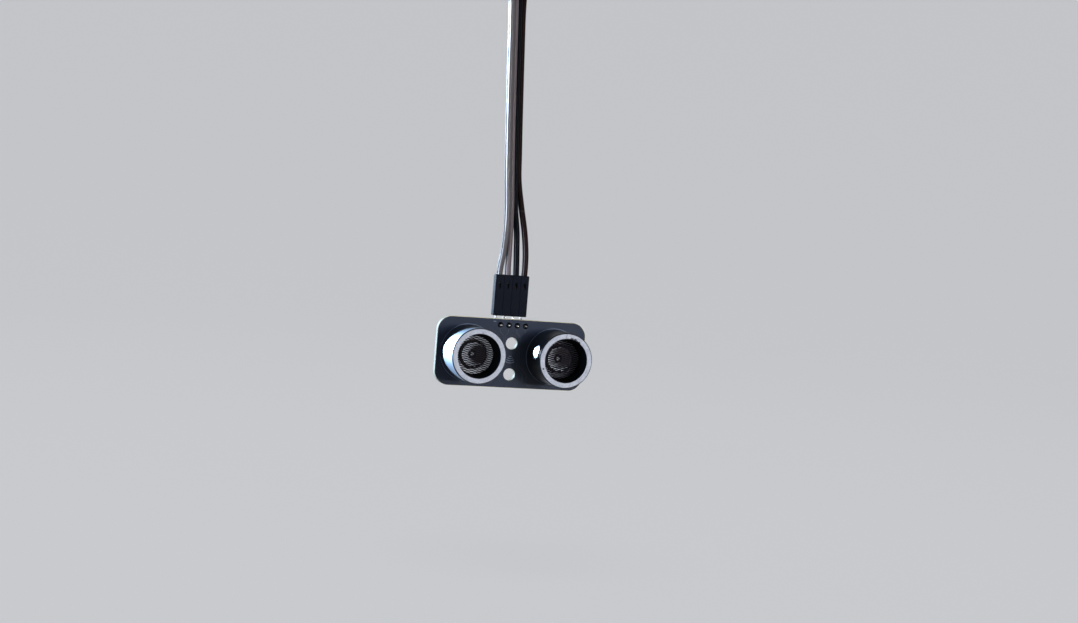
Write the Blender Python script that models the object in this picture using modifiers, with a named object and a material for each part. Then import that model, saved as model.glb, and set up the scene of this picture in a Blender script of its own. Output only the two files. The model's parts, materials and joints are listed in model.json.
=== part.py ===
"""Ultrasonic distance sensor: two transducers on a circuit board, hung from a four-way jumper lead.

Metres, +Z up. The origin is the middle of the board's back face, and the transducers look along -Y.
Run it with blender --background --python part.py, or from Blender's text editor.
"""

import math

import bmesh
import bpy
from mathutils import Matrix, Vector
from mathutils.geometry import interpolate_bezier

MM = 0.001
WAYS = 4
QUARTER_TURN = math.pi / 2

# Circuit board
BOARD_WIDTH = 45.0 * MM
BOARD_HEIGHT = 20.0 * MM
BOARD_THICKNESS = 1.6 * MM
BOARD_CORNER_RADIUS = 4.2 * MM
SCREW_HOLE_DIAMETER = 3.5 * MM
UPPER_SCREW_HOLE_Z = 3.0 * MM
LOWER_SCREW_HOLE_Z = -6.05 * MM

# Header: a straight strip soldered at the back, with its pins bent up past the board's edge
PITCH = 2.54 * MM
HEADER_TO_EDGE = 1.78 * MM
HEADER_BLOCK_SIZE = 2.54 * MM
HEADER_BLOCK_CHAMFER = 0.4 * MM
PIN_SIZE = 0.64 * MM
PIN_BEND_RADIUS = 0.86 * MM
PIN_TIP_TAPER = 0.15 * MM
PIN_IN_PLUG = 5.0 * MM
PIN_PAST_FRONT = 0.7 * MM
PIN_HOLE_DIAMETER = 1.02 * MM
PIN_CLEARANCE = 0.03 * MM
PIN_SOLDER_DIAMETER = 1.66 * MM
PIN_SOLDER_HEIGHT = 0.4 * MM

# Transducers, each built up from the board's front face
TRANSDUCER_SPACING = 26.0 * MM
TRANSDUCER_Z = -0.27 * MM
CASE_DIAMETER = 16.0 * MM
CASE_LENGTH = 11.7 * MM
CASE_WALL = 1.0 * MM
RIM_WIDTH = 1.6 * MM
RIM_CHAMFER = 0.3 * MM
BORE_DEPTH = 5.0 * MM
BORE_TAPER = 0.9 * MM
MESH_THICKNESS = 0.3 * MM
MESH_PITCH = 1.1 * MM
MESH_WIRE = 0.35 * MM
FIT_CLEARANCE = 0.1 * MM
BASE_THICKNESS = 2.0 * MM
SEAL_HEIGHT = 1.0 * MM
SEAL_WIDTH = 0.9 * MM
PLATE_THICKNESS = 0.3 * MM
PIEZO_THICKNESS = 0.5 * MM
PIEZO_CLEARANCE = 0.3 * MM
HUB_DIAMETER = 1.8 * MM
HUB_HEIGHT = 1.1 * MM
CONE_INSET = 0.4 * MM
CONE_DEPTH = 1.6 * MM
CONE_WALL = 0.25 * MM
LEAD_SPACING = 10.0 * MM
LEAD_DIAMETER = 0.8 * MM
LEAD_INSIDE = 0.6 * MM
LEAD_BEHIND = 1.5 * MM
LEAD_CLEARANCE = 0.05 * MM
LEAD_TO_PLATE = 0.4 * MM
LEAD_SOLDER_DIAMETER = 2.2 * MM
LEAD_SOLDER_HEIGHT = 1.0 * MM

# Chips on the board's back face: body length and width, and tip to tip over the leads
CHIP_BODY_WIDTH = 3.9 * MM
CHIP_SPAN = 6.0 * MM
CHIP_HEIGHT = 1.5 * MM
CHIP_STANDOFF = 0.1 * MM
CHIP_LEAD_PITCH = 1.27 * MM
CHIP_LEAD_TO_END = 0.5 * MM
CHIP_LEAD_WIDTH = 0.42 * MM
CHIP_LEAD_THICKNESS = 0.22 * MM
CHIP_FOOT = 0.6 * MM
CHIP_BEVEL = 0.12 * MM
LARGE_CHIP_LENGTH = 8.65 * MM
SMALL_CHIP_LENGTH = 4.9 * MM
DRIVER_CHIP_Z = -6.4 * MM
CRYSTAL_LENGTH = 5.0 * MM
CRYSTAL_WIDTH = 3.2 * MM
CRYSTAL_BODY_HEIGHT = 0.7 * MM
CRYSTAL_LID_HEIGHT = 0.35 * MM
CRYSTAL_LID_INSET = 0.35 * MM
CRYSTAL_Z = -6.3 * MM
CAPACITOR_LENGTH = 2.0 * MM
CAPACITOR_WIDTH = 1.25 * MM
CAPACITOR_HEIGHT = 0.85 * MM
CAPACITOR_TO_CHIP = 1.6 * MM
CAPACITOR_SPACING = 4.4 * MM
RESISTOR_LENGTH = 1.6 * MM
RESISTOR_WIDTH = 0.8 * MM
RESISTOR_HEIGHT = 0.45 * MM
RESISTOR_X = 6.2 * MM
RESISTOR_TOP_Z = 3.6 * MM
RESISTOR_SPACING = 2.2 * MM
SMALL_PART_BEVEL = 0.06 * MM

# Crimp housings at both ends of the lead, and the contacts in them
PLUG_GAP = 0.59 * MM
HOUSING_DEPTH = 2.54 * MM
HOUSING_LENGTH = 12.0 * MM
HOUSING_BEVEL = 0.15 * MM
CAVITY_SIZE = 1.98 * MM
MOUTH_SIZE = 1.1 * MM
MOUTH_DEPTH = 1.2 * MM
WINDOW_WIDTH = 0.65 * MM
WINDOW_LENGTH = 1.7 * MM
WINDOW_FROM_TOP = 3.1 * MM
GROOVE_WIDTH = 0.25 * MM
GROOVE_DEPTH = 0.12 * MM
CONTACT_SIZE = 1.7 * MM
CONTACT_LENGTH = 6.0 * MM
CONTACT_BORE = 0.92 * MM
CONTACT_BORE_DEPTH = 5.2 * MM
CRIMP_SIZE = 1.2 * MM
CRIMP_LENGTH = 1.8 * MM

# The lead: four insulated wires in a flat ribbon that turns between the two housings
WIRE_DIAMETER = 1.8 * MM
WIRE_POINTS = 20
FAR_HOUSING_X = -5.3 * MM
FAR_HOUSING_Y = 3.4 * MM
FAR_HOUSING_Z = 121.5 * MM
FAR_HOUSING_TURN = math.radians(35)

# Each wire's route in millimetres, chosen by hand: up out of the plug, together into the ribbon,
# and up to the far housing
WIRE_ROUTES = (
    (
        (-3.81, 3.40, 19.9), (-3.81, 3.40, 21.3), (-3.80, 3.38, 22.9), (-3.66, 3.12, 25.4),
        (-3.30, 2.50, 29.8), (-3.22, 1.88, 35.7), (-3.50, 1.72, 42.9), (-4.12, 1.73, 50.2),
        (-4.66, 1.73, 58.0), (-5.14, 1.73, 65.5), (-5.58, 1.73, 73.3), (-6.01, 1.73, 81.0),
        (-6.41, 1.73, 88.5), (-6.82, 1.73, 96.3), (-7.22, 1.70, 101.5), (-7.90, 1.45, 105.6),
        (-8.40, 1.22, 109.3), (-8.42, 1.21, 110.8), (-8.42, 1.21, 112.2),
    ),
    (
        (-1.27, 3.40, 19.9), (-1.27, 3.40, 21.3), (-1.28, 3.40, 22.9), (-1.40, 3.32, 25.4),
        (-1.52, 3.12, 29.8), (-1.72, 3.00, 35.7), (-2.06, 2.90, 42.9), (-2.65, 2.84, 50.2),
        (-3.19, 2.84, 58.0), (-3.67, 2.84, 65.5), (-4.11, 2.84, 73.3), (-4.54, 2.84, 81.0),
        (-4.94, 2.84, 88.5), (-5.35, 2.84, 96.3), (-5.66, 2.83, 101.5), (-6.06, 2.75, 105.6),
        (-6.33, 2.67, 109.3), (-6.34, 2.67, 110.8), (-6.34, 2.67, 112.2),
    ),
    (
        (1.27, 3.40, 19.9), (1.27, 3.40, 21.3), (1.26, 3.40, 22.9), (1.14, 3.42, 25.4),
        (0.87, 3.50, 29.8), (0.44, 3.65, 35.7), (-0.58, 3.98, 42.9), (-1.17, 3.96, 50.2),
        (-1.71, 3.96, 58.0), (-2.19, 3.96, 65.5), (-2.63, 3.96, 73.3), (-3.06, 3.96, 81.0),
        (-3.46, 3.96, 88.5), (-3.87, 3.96, 96.3), (-4.10, 3.97, 101.5), (-4.22, 4.05, 105.6),
        (-4.26, 4.13, 109.3), (-4.26, 4.13, 110.8), (-4.26, 4.13, 112.2),
    ),
    (
        (3.81, 3.40, 19.9), (3.81, 3.40, 21.3), (3.82, 3.41, 22.9), (3.86, 3.46, 25.4),
        (3.70, 3.70, 29.8), (2.99, 4.20, 35.7), (1.60, 4.82, 42.9), (0.30, 5.07, 50.2),
        (-0.24, 5.07, 58.0), (-0.72, 5.07, 65.5), (-1.16, 5.07, 73.3), (-1.59, 5.07, 81.0),
        (-1.99, 5.07, 88.5), (-2.40, 5.07, 96.3), (-2.54, 5.10, 101.5), (-2.38, 5.35, 105.6),
        (-2.19, 5.58, 109.3), (-2.18, 5.59, 110.8), (-2.18, 5.59, 112.2),
    ),
)

# Steps round a turned piece
FINE_STEPS = 48
STEPS = 24
SMALL_STEPS = 12

# Places that follow from the sizes above
HEADER_Z = BOARD_HEIGHT / 2 - HEADER_TO_EDGE
PIN_AXIS_Y = HEADER_BLOCK_SIZE + PIN_BEND_RADIUS
PLUG_Z = BOARD_HEIGHT / 2 + PLUG_GAP
CASE_RADIUS = CASE_DIAMETER / 2
CHAMBER_RADIUS = CASE_RADIUS - CASE_WALL
BORE_FRONT_RADIUS = CASE_RADIUS - RIM_WIDTH
BORE_BACK_RADIUS = BORE_FRONT_RADIUS - BORE_TAPER
MESH_SEAT = CASE_LENGTH - BORE_DEPTH
LEAD_RADIUS = LEAD_DIAMETER / 2
LEAD_PLACE = LEAD_SPACING / 2
PLATE_RADIUS = LEAD_PLACE - LEAD_RADIUS - LEAD_TO_PLATE
CONE_RADIUS = PLATE_RADIUS - CONE_INSET
PLATE_SEAT = BASE_THICKNESS + SEAL_HEIGHT
CONE_SEAT = PLATE_SEAT + PLATE_THICKNESS


def new_collection(name):
    collection = bpy.data.collections.new(name)
    bpy.context.scene.collection.children.link(collection)
    return collection


def clear_scene():
    for obj in list(bpy.data.objects):
        bpy.data.objects.remove(obj)


clear_scene()
SENSOR = new_collection("ultrasonic_distance_sensor")
CUTTERS = new_collection("cutters")


def material(name, colour, roughness, metallic=0.0):
    finish = bpy.data.materials.new(name)
    finish.use_nodes = True
    shader = finish.node_tree.nodes["Principled BSDF"]
    shader.inputs["Base Color"].default_value = (*colour, 1.0)
    shader.inputs["Roughness"].default_value = roughness
    shader.inputs["Metallic"].default_value = metallic
    return finish


SOLDER_MASK = material("solder_mask", (0.018, 0.022, 0.034), 0.35)
BLACK_PLASTIC = material("black_plastic", (0.012, 0.012, 0.015), 0.45)
CHIP_PLASTIC = material("chip_plastic", (0.015, 0.015, 0.016), 0.55)
CASE_METAL = material("case_metal", (0.012, 0.013, 0.017), 0.22, 0.6)
MESH_METAL = material("mesh_metal", (0.45, 0.45, 0.47), 0.35, 1.0)
ALUMINIUM = material("aluminium", (0.78, 0.78, 0.80), 0.3, 1.0)
BRASS_PLATE = material("brass_plate", (0.72, 0.55, 0.25), 0.35, 1.0)
PIEZO_CERAMIC = material("piezo_ceramic", (0.55, 0.53, 0.47), 0.6)
SILICONE = material("silicone", (0.7, 0.7, 0.7), 0.5)
TINNED_METAL = material("tinned_metal", (0.72, 0.73, 0.75), 0.25, 1.0)
SOLDER = material("solder", (0.55, 0.56, 0.58), 0.3, 1.0)
CAPACITOR_CERAMIC = material("capacitor_ceramic", (0.42, 0.30, 0.18), 0.5)
RESISTOR_BODY = material("resistor_body", (0.02, 0.02, 0.022), 0.4)
WIRE_COLOURS = (
    material("brown_insulation", (0.10, 0.085, 0.08), 0.3),
    material("grey_insulation", (0.16, 0.14, 0.14), 0.35),
    material("black_insulation", (0.008, 0.008, 0.010), 0.3),
    material("red_brown_insulation", (0.05, 0.022, 0.018), 0.35),
)


def empty(name, location, rotation=(0, 0, 0)):
    axis = bpy.data.objects.new(name, None)
    axis.location = location
    axis.rotation_euler = rotation
    SENSOR.objects.link(axis)
    return axis


# The board's faces, seen as floors that pieces stand on, and the plugs' frames
BOARD_BACK = empty("board_back", (0, 0, 0), (-QUARTER_TURN, 0, 0))
BOARD_FRONT = empty("board_front", (0, -BOARD_THICKNESS, 0), (QUARTER_TURN, 0, 0))
PLUG = empty("plug", (0, PIN_AXIS_Y, PLUG_Z))
FAR_PLUG = empty(
    "far_plug", (FAR_HOUSING_X, FAR_HOUSING_Y, FAR_HOUSING_Z), (0, math.pi, FAR_HOUSING_TURN)
)


def add(name, data, finish=None, parent=None, location=(0, 0, 0), rotation=(0, 0, 0)):
    """Puts a mesh or a curve in the scene as one sub-part, or as a cutter where it has no finish."""
    obj = bpy.data.objects.new(name, data)
    obj.parent = parent
    obj.location = location
    obj.rotation_euler = rotation
    if finish:
        if not data.materials:
            data.materials.append(finish)
        SENSOR.objects.link(obj)
    else:
        obj.hide_render = True
        obj.display_type = "WIRE"
        CUTTERS.objects.link(obj)
    return obj


def evaluated_mesh(obj):
    """The object's mesh after its modifiers, or a curve's mesh with its caps welded on."""
    graph = bpy.context.evaluated_depsgraph_get()
    mesh = bpy.data.meshes.new_from_object(obj.evaluated_get(graph))
    if obj.type == "CURVE":
        work = bmesh.new()
        work.from_mesh(mesh)
        bmesh.ops.remove_doubles(work, verts=work.verts, dist=1e-7)
        work.to_mesh(mesh)
        work.free()
    return mesh


def box_mesh(name, size, lift=0.0):
    """A box centred on the Z axis, with its lower face at the given lift."""
    work = bmesh.new()
    bmesh.ops.create_cube(work, size=1.0)
    bmesh.ops.scale(work, vec=size, verts=work.verts)
    bmesh.ops.translate(work, vec=(0, 0, lift + size[2] / 2), verts=work.verts)
    mesh = bpy.data.meshes.new(name)
    work.to_mesh(mesh)
    work.free()
    return mesh


def bevel(obj, width):
    modifier = obj.modifiers.new("edges", "BEVEL")
    modifier.width = width
    modifier.segments = 1


def cut(obj, cutter):
    modifier = obj.modifiers.new("cut", "BOOLEAN")
    modifier.operation = "DIFFERENCE"
    modifier.object = cutter


def circle(diameter, centre=(0, 0), steps=STEPS):
    turns = [2 * math.pi * i / steps for i in range(steps)]
    return [
        (centre[0] + diameter / 2 * math.cos(turn), centre[1] + diameter / 2 * math.sin(turn))
        for turn in turns
    ]


def rectangle(width, height, centre=(0, 0)):
    return [
        (centre[0] + i * width / 2, centre[1] + j * height / 2)
        for i, j in ((-1, -1), (1, -1), (1, 1), (-1, 1))
    ]


def rounded_rectangle(width, height, radius, steps=6):
    corners = rectangle(width - 2 * radius, height - 2 * radius)
    return [
        (x + radius * math.cos(turn), y + radius * math.sin(turn))
        for corner, (x, y) in enumerate(corners)
        for turn in (math.pi + QUARTER_TURN * (corner + i / steps) for i in range(steps + 1))
    ]


def plate_curve(name, outlines, thickness):
    """A flat plate about its local plane: the first outline is its edge, and the others are holes."""
    curve = bpy.data.curves.new(name, "CURVE")
    curve.dimensions = "2D"
    curve.fill_mode = "BOTH"
    curve.extrude = thickness / 2
    for outline in outlines:
        spline = curve.splines.new("POLY")
        spline.points.add(len(outline) - 1)
        for point, (x, y) in zip(spline.points, outline):
            point.co = (x, y, 0, 1)
        spline.use_cyclic_u = True
    return curve


def turned(name, profile, finish, parent, location=(0, 0, 0), steps=STEPS):
    """Turns a profile of (radius, height) points about Z: down its outer side, then up its inner one."""
    profile_mesh = bpy.data.meshes.new(name)
    count = len(profile)
    on_axis = profile[0][0] == 0 and profile[-1][0] == 0
    edges = [(i, (i + 1) % count) for i in range(count - on_axis)]
    profile_mesh.from_pydata([(radius, 0, height) for radius, height in profile], edges, [])
    obj = add(name, profile_mesh, finish, parent, location)
    screw = obj.modifiers.new("turn", "SCREW")
    screw.steps = steps
    screw.render_steps = steps
    screw.use_merge_vertices = True
    screw.merge_threshold = 1e-6
    obj.data = evaluated_mesh(obj)
    obj.modifiers.clear()
    obj.data.shade_smooth()
    obj.data.set_sharp_from_angle(angle=math.radians(35))
    return obj


def make_circuit_board():
    pins = [circle(PIN_HOLE_DIAMETER, (pin_x(way), HEADER_Z), SMALL_STEPS) for way in range(WAYS)]
    leads = [
        circle(LEAD_DIAMETER + 4 * LEAD_CLEARANCE, (x, z), SMALL_STEPS)
        for x in (-TRANSDUCER_SPACING / 2, TRANSDUCER_SPACING / 2)
        for z in lead_heights()
    ]
    screws = [
        circle(SCREW_HOLE_DIAMETER, (0, z)) for z in (UPPER_SCREW_HOLE_Z, LOWER_SCREW_HOLE_Z)
    ]
    outline = rounded_rectangle(BOARD_WIDTH, BOARD_HEIGHT, BOARD_CORNER_RADIUS)
    curve = plate_curve("circuit_board", [outline, *screws, *pins, *leads], BOARD_THICKNESS)
    add(
        "circuit_board",
        curve,
        SOLDER_MASK,
        location=(0, -BOARD_THICKNESS / 2, 0),
        rotation=(QUARTER_TURN, 0, 0),
    )


def pin_x(way):
    return (way - (WAYS - 1) / 2) * PITCH


def lead_heights():
    return (TRANSDUCER_Z + LEAD_PLACE, TRANSDUCER_Z - LEAD_PLACE)


def header_outline():
    """The strip's long outline, with a notch between each way and the next."""
    half = HEADER_BLOCK_SIZE / 2
    chamfer = HEADER_BLOCK_CHAMFER
    lower = []
    for way in range(WAYS):
        middle = pin_x(way)
        lower += [
            (middle - PITCH / 2, -half + chamfer),
            (middle - PITCH / 2 + chamfer, -half),
            (middle + PITCH / 2 - chamfer, -half),
        ]
    lower.append((pin_x(WAYS - 1) + PITCH / 2, -half + chamfer))
    return lower + [(x, -y) for x, y in reversed(lower)]


def pin_outline():
    """The bent pin seen from the side: x runs to the back of the board and y up, from the bend's corner."""
    half = PIN_SIZE / 2
    front = -(BOARD_THICKNESS + PIN_PAST_FRONT)
    top = PLUG_Z + PIN_IN_PLUG - HEADER_Z
    taper = PIN_TIP_TAPER
    bend = (PIN_AXIS_Y - PIN_BEND_RADIUS, PIN_BEND_RADIUS)
    turns = [-QUARTER_TURN + QUARTER_TURN * i / 6 for i in range(7)]
    outer, inner = (
        [
            (bend[0] + radius * math.cos(turn), bend[1] + radius * math.sin(turn))
            for turn in turns
        ]
        for radius in (PIN_BEND_RADIUS + half, PIN_BEND_RADIUS - half)
    )
    front_tip = [(front, taper - half), (front + taper, -half)]
    top_tip = [(PIN_AXIS_Y + half, top - taper), (PIN_AXIS_Y + half - taper, top)]
    return (
        front_tip
        + outer
        + top_tip
        + [(2 * PIN_AXIS_Y - x, y) for x, y in reversed(top_tip)]
        + inner[::-1]
        + [(x, -y) for x, y in reversed(front_tip)]
    )


def make_header():
    block = plate_curve(
        "header_block",
        [header_outline()]
        + [
            rectangle(PIN_SIZE + 2 * PIN_CLEARANCE, PIN_SIZE + 2 * PIN_CLEARANCE, (pin_x(way), 0))
            for way in range(WAYS)
        ],
        HEADER_BLOCK_SIZE,
    )
    add(
        "header_block",
        block,
        BLACK_PLASTIC,
        location=(0, HEADER_BLOCK_SIZE / 2, HEADER_Z),
        rotation=(QUARTER_TURN, 0, 0),
    )
    hole = PIN_SIZE / math.sqrt(2) + PIN_CLEARANCE
    solder_neck = hole + (PIN_SOLDER_DIAMETER / 2 - hole) / 2
    for way in range(WAYS):
        add(
            f"header_pin_{way + 1}",
            plate_curve(f"header_pin_{way + 1}", [pin_outline()], PIN_SIZE),
            TINNED_METAL,
            location=(pin_x(way), 0, HEADER_Z),
            rotation=(QUARTER_TURN, 0, QUARTER_TURN),
        )
        turned(
            f"header_solder_{way + 1}",
            [
                (hole, PIN_SOLDER_HEIGHT),
                (solder_neck, PIN_SOLDER_HEIGHT),
                (PIN_SOLDER_DIAMETER / 2, 0),
                (hole, 0),
            ],
            SOLDER,
            BOARD_FRONT,
            (pin_x(way), HEADER_Z, 0),
            SMALL_STEPS,
        )


def make_case(name, frame):
    rim = CASE_LENGTH
    turned(
        f"{name}_case",
        [
            (BORE_FRONT_RADIUS, rim),
            (CASE_RADIUS - RIM_CHAMFER, rim),
            (CASE_RADIUS, rim - RIM_CHAMFER),
            (CASE_RADIUS, 0),
            (CHAMBER_RADIUS, 0),
            (CHAMBER_RADIUS, MESH_SEAT),
            (BORE_BACK_RADIUS, MESH_SEAT),
        ],
        CASE_METAL,
        frame,
        steps=FINE_STEPS,
    )


def make_mesh_screen(name, frame):
    """A round screen whose gaps are a lattice of squares, inside a rim that seats in the case."""
    gap = MESH_PITCH - MESH_WIRE
    reach = int(BORE_BACK_RADIUS / MESH_PITCH) + 1
    places = [
        (column * MESH_PITCH, row * MESH_PITCH)
        for column in range(-reach, reach + 1)
        for row in range(-reach, reach + 1)
    ]
    gaps = [
        rectangle(gap, gap, (x, y))
        for x, y in places
        if math.hypot(abs(x) + gap / 2, abs(y) + gap / 2) < BORE_BACK_RADIUS - MESH_WIRE / 2
    ]
    rim = circle(2 * (CHAMBER_RADIUS - FIT_CLEARANCE), steps=FINE_STEPS)
    add(
        f"{name}_mesh",
        plate_curve(f"{name}_mesh", [rim, *gaps], MESH_THICKNESS),
        MESH_METAL,
        frame,
        (0, 0, MESH_SEAT - MESH_THICKNESS / 2),
    )


def make_vibrator(name, frame):
    """The sounding parts, from the base forwards: silicone seal, piezo disc, plate and cone."""
    seal_inner = PLATE_RADIUS - SEAL_WIDTH
    turned(
        f"{name}_seal",
        [
            (seal_inner, PLATE_SEAT),
            (PLATE_RADIUS, PLATE_SEAT),
            (PLATE_RADIUS, BASE_THICKNESS),
            (seal_inner, BASE_THICKNESS),
        ],
        SILICONE,
        frame,
    )
    disc(f"{name}_plate", PLATE_RADIUS, PLATE_THICKNESS, BRASS_PLATE, frame, PLATE_SEAT)
    disc(
        f"{name}_piezo",
        seal_inner - PIEZO_CLEARANCE,
        PIEZO_THICKNESS,
        PIEZO_CERAMIC,
        frame,
        PLATE_SEAT - PIEZO_THICKNESS,
    )
    hub_top = CONE_SEAT + HUB_HEIGHT
    cone_top = hub_top + CONE_DEPTH
    turned(
        f"{name}_cone",
        [
            (0, hub_top),
            (HUB_DIAMETER / 2, hub_top),
            (CONE_RADIUS - CONE_WALL, cone_top),
            (CONE_RADIUS, cone_top),
            (HUB_DIAMETER / 2, hub_top - CONE_WALL),
            (HUB_DIAMETER / 2, CONE_SEAT),
            (0, CONE_SEAT),
        ],
        ALUMINIUM,
        frame,
    )


def disc(name, radius, thickness, finish, frame, lift, steps=STEPS):
    turned(
        name,
        [(0, thickness), (radius, thickness), (radius, 0), (0, 0)],
        finish,
        frame,
        (0, 0, lift),
        steps,
    )


def make_base(name, frame):
    """The plastic base, with its two leads through the board and their solder at the back."""
    leads = [(0, LEAD_PLACE), (0, -LEAD_PLACE)]
    rim = circle(2 * (CHAMBER_RADIUS - FIT_CLEARANCE), steps=FINE_STEPS)
    hole = LEAD_DIAMETER + 2 * LEAD_CLEARANCE
    add(
        f"{name}_base",
        plate_curve(
            f"{name}_base",
            [rim] + [circle(hole, place, SMALL_STEPS) for place in leads],
            BASE_THICKNESS,
        ),
        BLACK_PLASTIC,
        frame,
        (0, 0, BASE_THICKNESS / 2),
    )
    behind = BOARD_THICKNESS + LEAD_BEHIND
    solder_end = -BOARD_THICKNESS - LEAD_SOLDER_HEIGHT
    solder_neck = hole / 2 + (LEAD_SOLDER_DIAMETER - hole) / 8
    for number, (x, y) in enumerate(leads, 1):
        turned(
            f"{name}_lead_{number}",
            [
                (0, BASE_THICKNESS + LEAD_INSIDE),
                (LEAD_RADIUS, BASE_THICKNESS + LEAD_INSIDE),
                (LEAD_RADIUS, -behind),
                (0, -behind),
            ],
            TINNED_METAL,
            frame,
            (x, y, 0),
            SMALL_STEPS,
        )
        turned(
            f"{name}_solder_{number}",
            [
                (hole / 2, -BOARD_THICKNESS),
                (LEAD_SOLDER_DIAMETER / 2, -BOARD_THICKNESS),
                (solder_neck, solder_end),
                (hole / 2, solder_end),
            ],
            SOLDER,
            frame,
            (x, y, 0),
            SMALL_STEPS,
        )


def make_transducer(name, x):
    frame = empty(name, (x, -BOARD_THICKNESS, TRANSDUCER_Z), (QUARTER_TURN, 0, 0))
    make_case(name, frame)
    make_mesh_screen(name, frame)
    make_vibrator(name, frame)
    make_base(name, frame)


def on_back(x, z):
    """A place on the board's back face, in that face's own frame."""
    return (x, -z, 0)


def gull_wing_outline():
    """A pair of leads seen from the chip's end: foot, riser and shoulder, joined through the body."""
    shoulder = CHIP_STANDOFF + CHIP_HEIGHT / 2
    thick = CHIP_LEAD_THICKNESS
    foot = CHIP_SPAN / 2 - CHIP_FOOT
    knee = CHIP_BODY_WIDTH / 2 + thick
    under = [(CHIP_SPAN / 2, 0), (foot, 0), (knee, shoulder - thick)]
    over = [(knee + thick / 2, shoulder), (foot + thick / 2, thick), (CHIP_SPAN / 2, thick)]
    right = under[::-1] + over[::-1]
    return right + [(-x, y) for x, y in reversed(right)]


def make_chip(name, length, place, turn=0.0):
    leads = int((length - 2 * CHIP_LEAD_TO_END) / CHIP_LEAD_PITCH) + 1
    pair_outline = plate_curve(f"{name}_leads", [gull_wing_outline()], CHIP_LEAD_WIDTH)
    pair = add(f"{name}_pair", pair_outline)
    pair_mesh = evaluated_mesh(pair)
    bpy.data.objects.remove(pair)
    pair_mesh.transform(
        Matrix.Translation((-(leads - 1) / 2 * CHIP_LEAD_PITCH, 0, 0))
        @ Matrix.Rotation(QUARTER_TURN, 4, "Z")
        @ Matrix.Rotation(QUARTER_TURN, 4, "X")
    )
    lead_frame = add(f"{name}_leads", pair_mesh, None, BOARD_BACK, on_back(*place), (0, 0, turn))
    row = lead_frame.modifiers.new("row", "ARRAY")
    row.count = leads
    row.use_relative_offset = False
    row.use_constant_offset = True
    row.constant_offset_displace = (CHIP_LEAD_PITCH, 0, 0)
    body_mesh = box_mesh(name, (length, CHIP_BODY_WIDTH, CHIP_HEIGHT), CHIP_STANDOFF)
    body = add(name, body_mesh, CHIP_PLASTIC, BOARD_BACK, on_back(*place), (0, 0, turn))
    bevel(body, CHIP_BEVEL)
    join = body.modifiers.new("leads", "BOOLEAN")
    join.operation = "UNION"
    join.object = lead_frame


def make_crystal(place):
    work = bmesh.new()
    work.from_mesh(box_mesh("crystal", (CRYSTAL_LENGTH, CRYSTAL_WIDTH, CRYSTAL_BODY_HEIGHT)))
    top = max(work.faces, key=lambda face: face.calc_center_median().z)
    bmesh.ops.inset_region(work, faces=[top], thickness=CRYSTAL_LID_INSET)
    lid = bmesh.ops.extrude_face_region(work, geom=[top])
    lid_points = [item for item in lid["geom"] if isinstance(item, bmesh.types.BMVert)]
    bmesh.ops.translate(work, vec=(0, 0, CRYSTAL_LID_HEIGHT), verts=lid_points)
    bmesh.ops.delete(work, geom=[top], context="FACES_ONLY")
    mesh = bpy.data.meshes.new("crystal")
    work.to_mesh(mesh)
    work.free()
    add("crystal", mesh, ALUMINIUM, BOARD_BACK, on_back(*place))


def make_small_parts():
    """Chip capacitors outboard of the two large chips, and chip resistors beside the screw holes."""
    column = TRANSDUCER_SPACING / 2 + LARGE_CHIP_LENGTH / 2 + CAPACITOR_TO_CHIP
    places = [
        (x, TRANSDUCER_Z + z)
        for x in (-column, column)
        for z in (CAPACITOR_SPACING / 2, -CAPACITOR_SPACING / 2)
    ]
    for number, place in enumerate(places, 1):
        name = f"capacitor_{number}"
        size = (CAPACITOR_WIDTH, CAPACITOR_LENGTH, CAPACITOR_HEIGHT)
        part = add(name, box_mesh(name, size), CAPACITOR_CERAMIC, BOARD_BACK, on_back(*place))
        bevel(part, SMALL_PART_BEVEL)
    rows = [(-RESISTOR_X, 3), (RESISTOR_X, 2)]
    places = [(x, RESISTOR_TOP_Z - row * RESISTOR_SPACING) for x, count in rows for row in range(count)]
    for number, place in enumerate(places, 1):
        name = f"resistor_{number}"
        size = (RESISTOR_LENGTH, RESISTOR_WIDTH, RESISTOR_HEIGHT)
        part = add(name, box_mesh(name, size), RESISTOR_BODY, BOARD_BACK, on_back(*place))
        bevel(part, SMALL_PART_BEVEL)


def make_back_parts():
    axis = TRANSDUCER_SPACING / 2
    between = (axis + SCREW_HOLE_DIAMETER / 2) / 2
    make_chip("control_chip", LARGE_CHIP_LENGTH, (-axis, TRANSDUCER_Z))
    make_chip("amplifier_chip", LARGE_CHIP_LENGTH, (axis, TRANSDUCER_Z))
    make_chip("driver_chip", SMALL_CHIP_LENGTH, (between, DRIVER_CHIP_Z), QUARTER_TURN)
    make_crystal((-between, CRYSTAL_Z))
    make_small_parts()


def cutter_row(name, mesh, count):
    """A row of like cutters, one for each way or for each gap between two ways."""
    cutter = add(name, mesh, None, PLUG)
    cutter.location = (-(count - 1) / 2 * PITCH, 0, 0)
    row = cutter.modifiers.new("row", "ARRAY")
    row.count = count
    row.use_relative_offset = False
    row.use_constant_offset = True
    row.constant_offset_displace = (PITCH, 0, 0)
    return cutter


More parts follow.
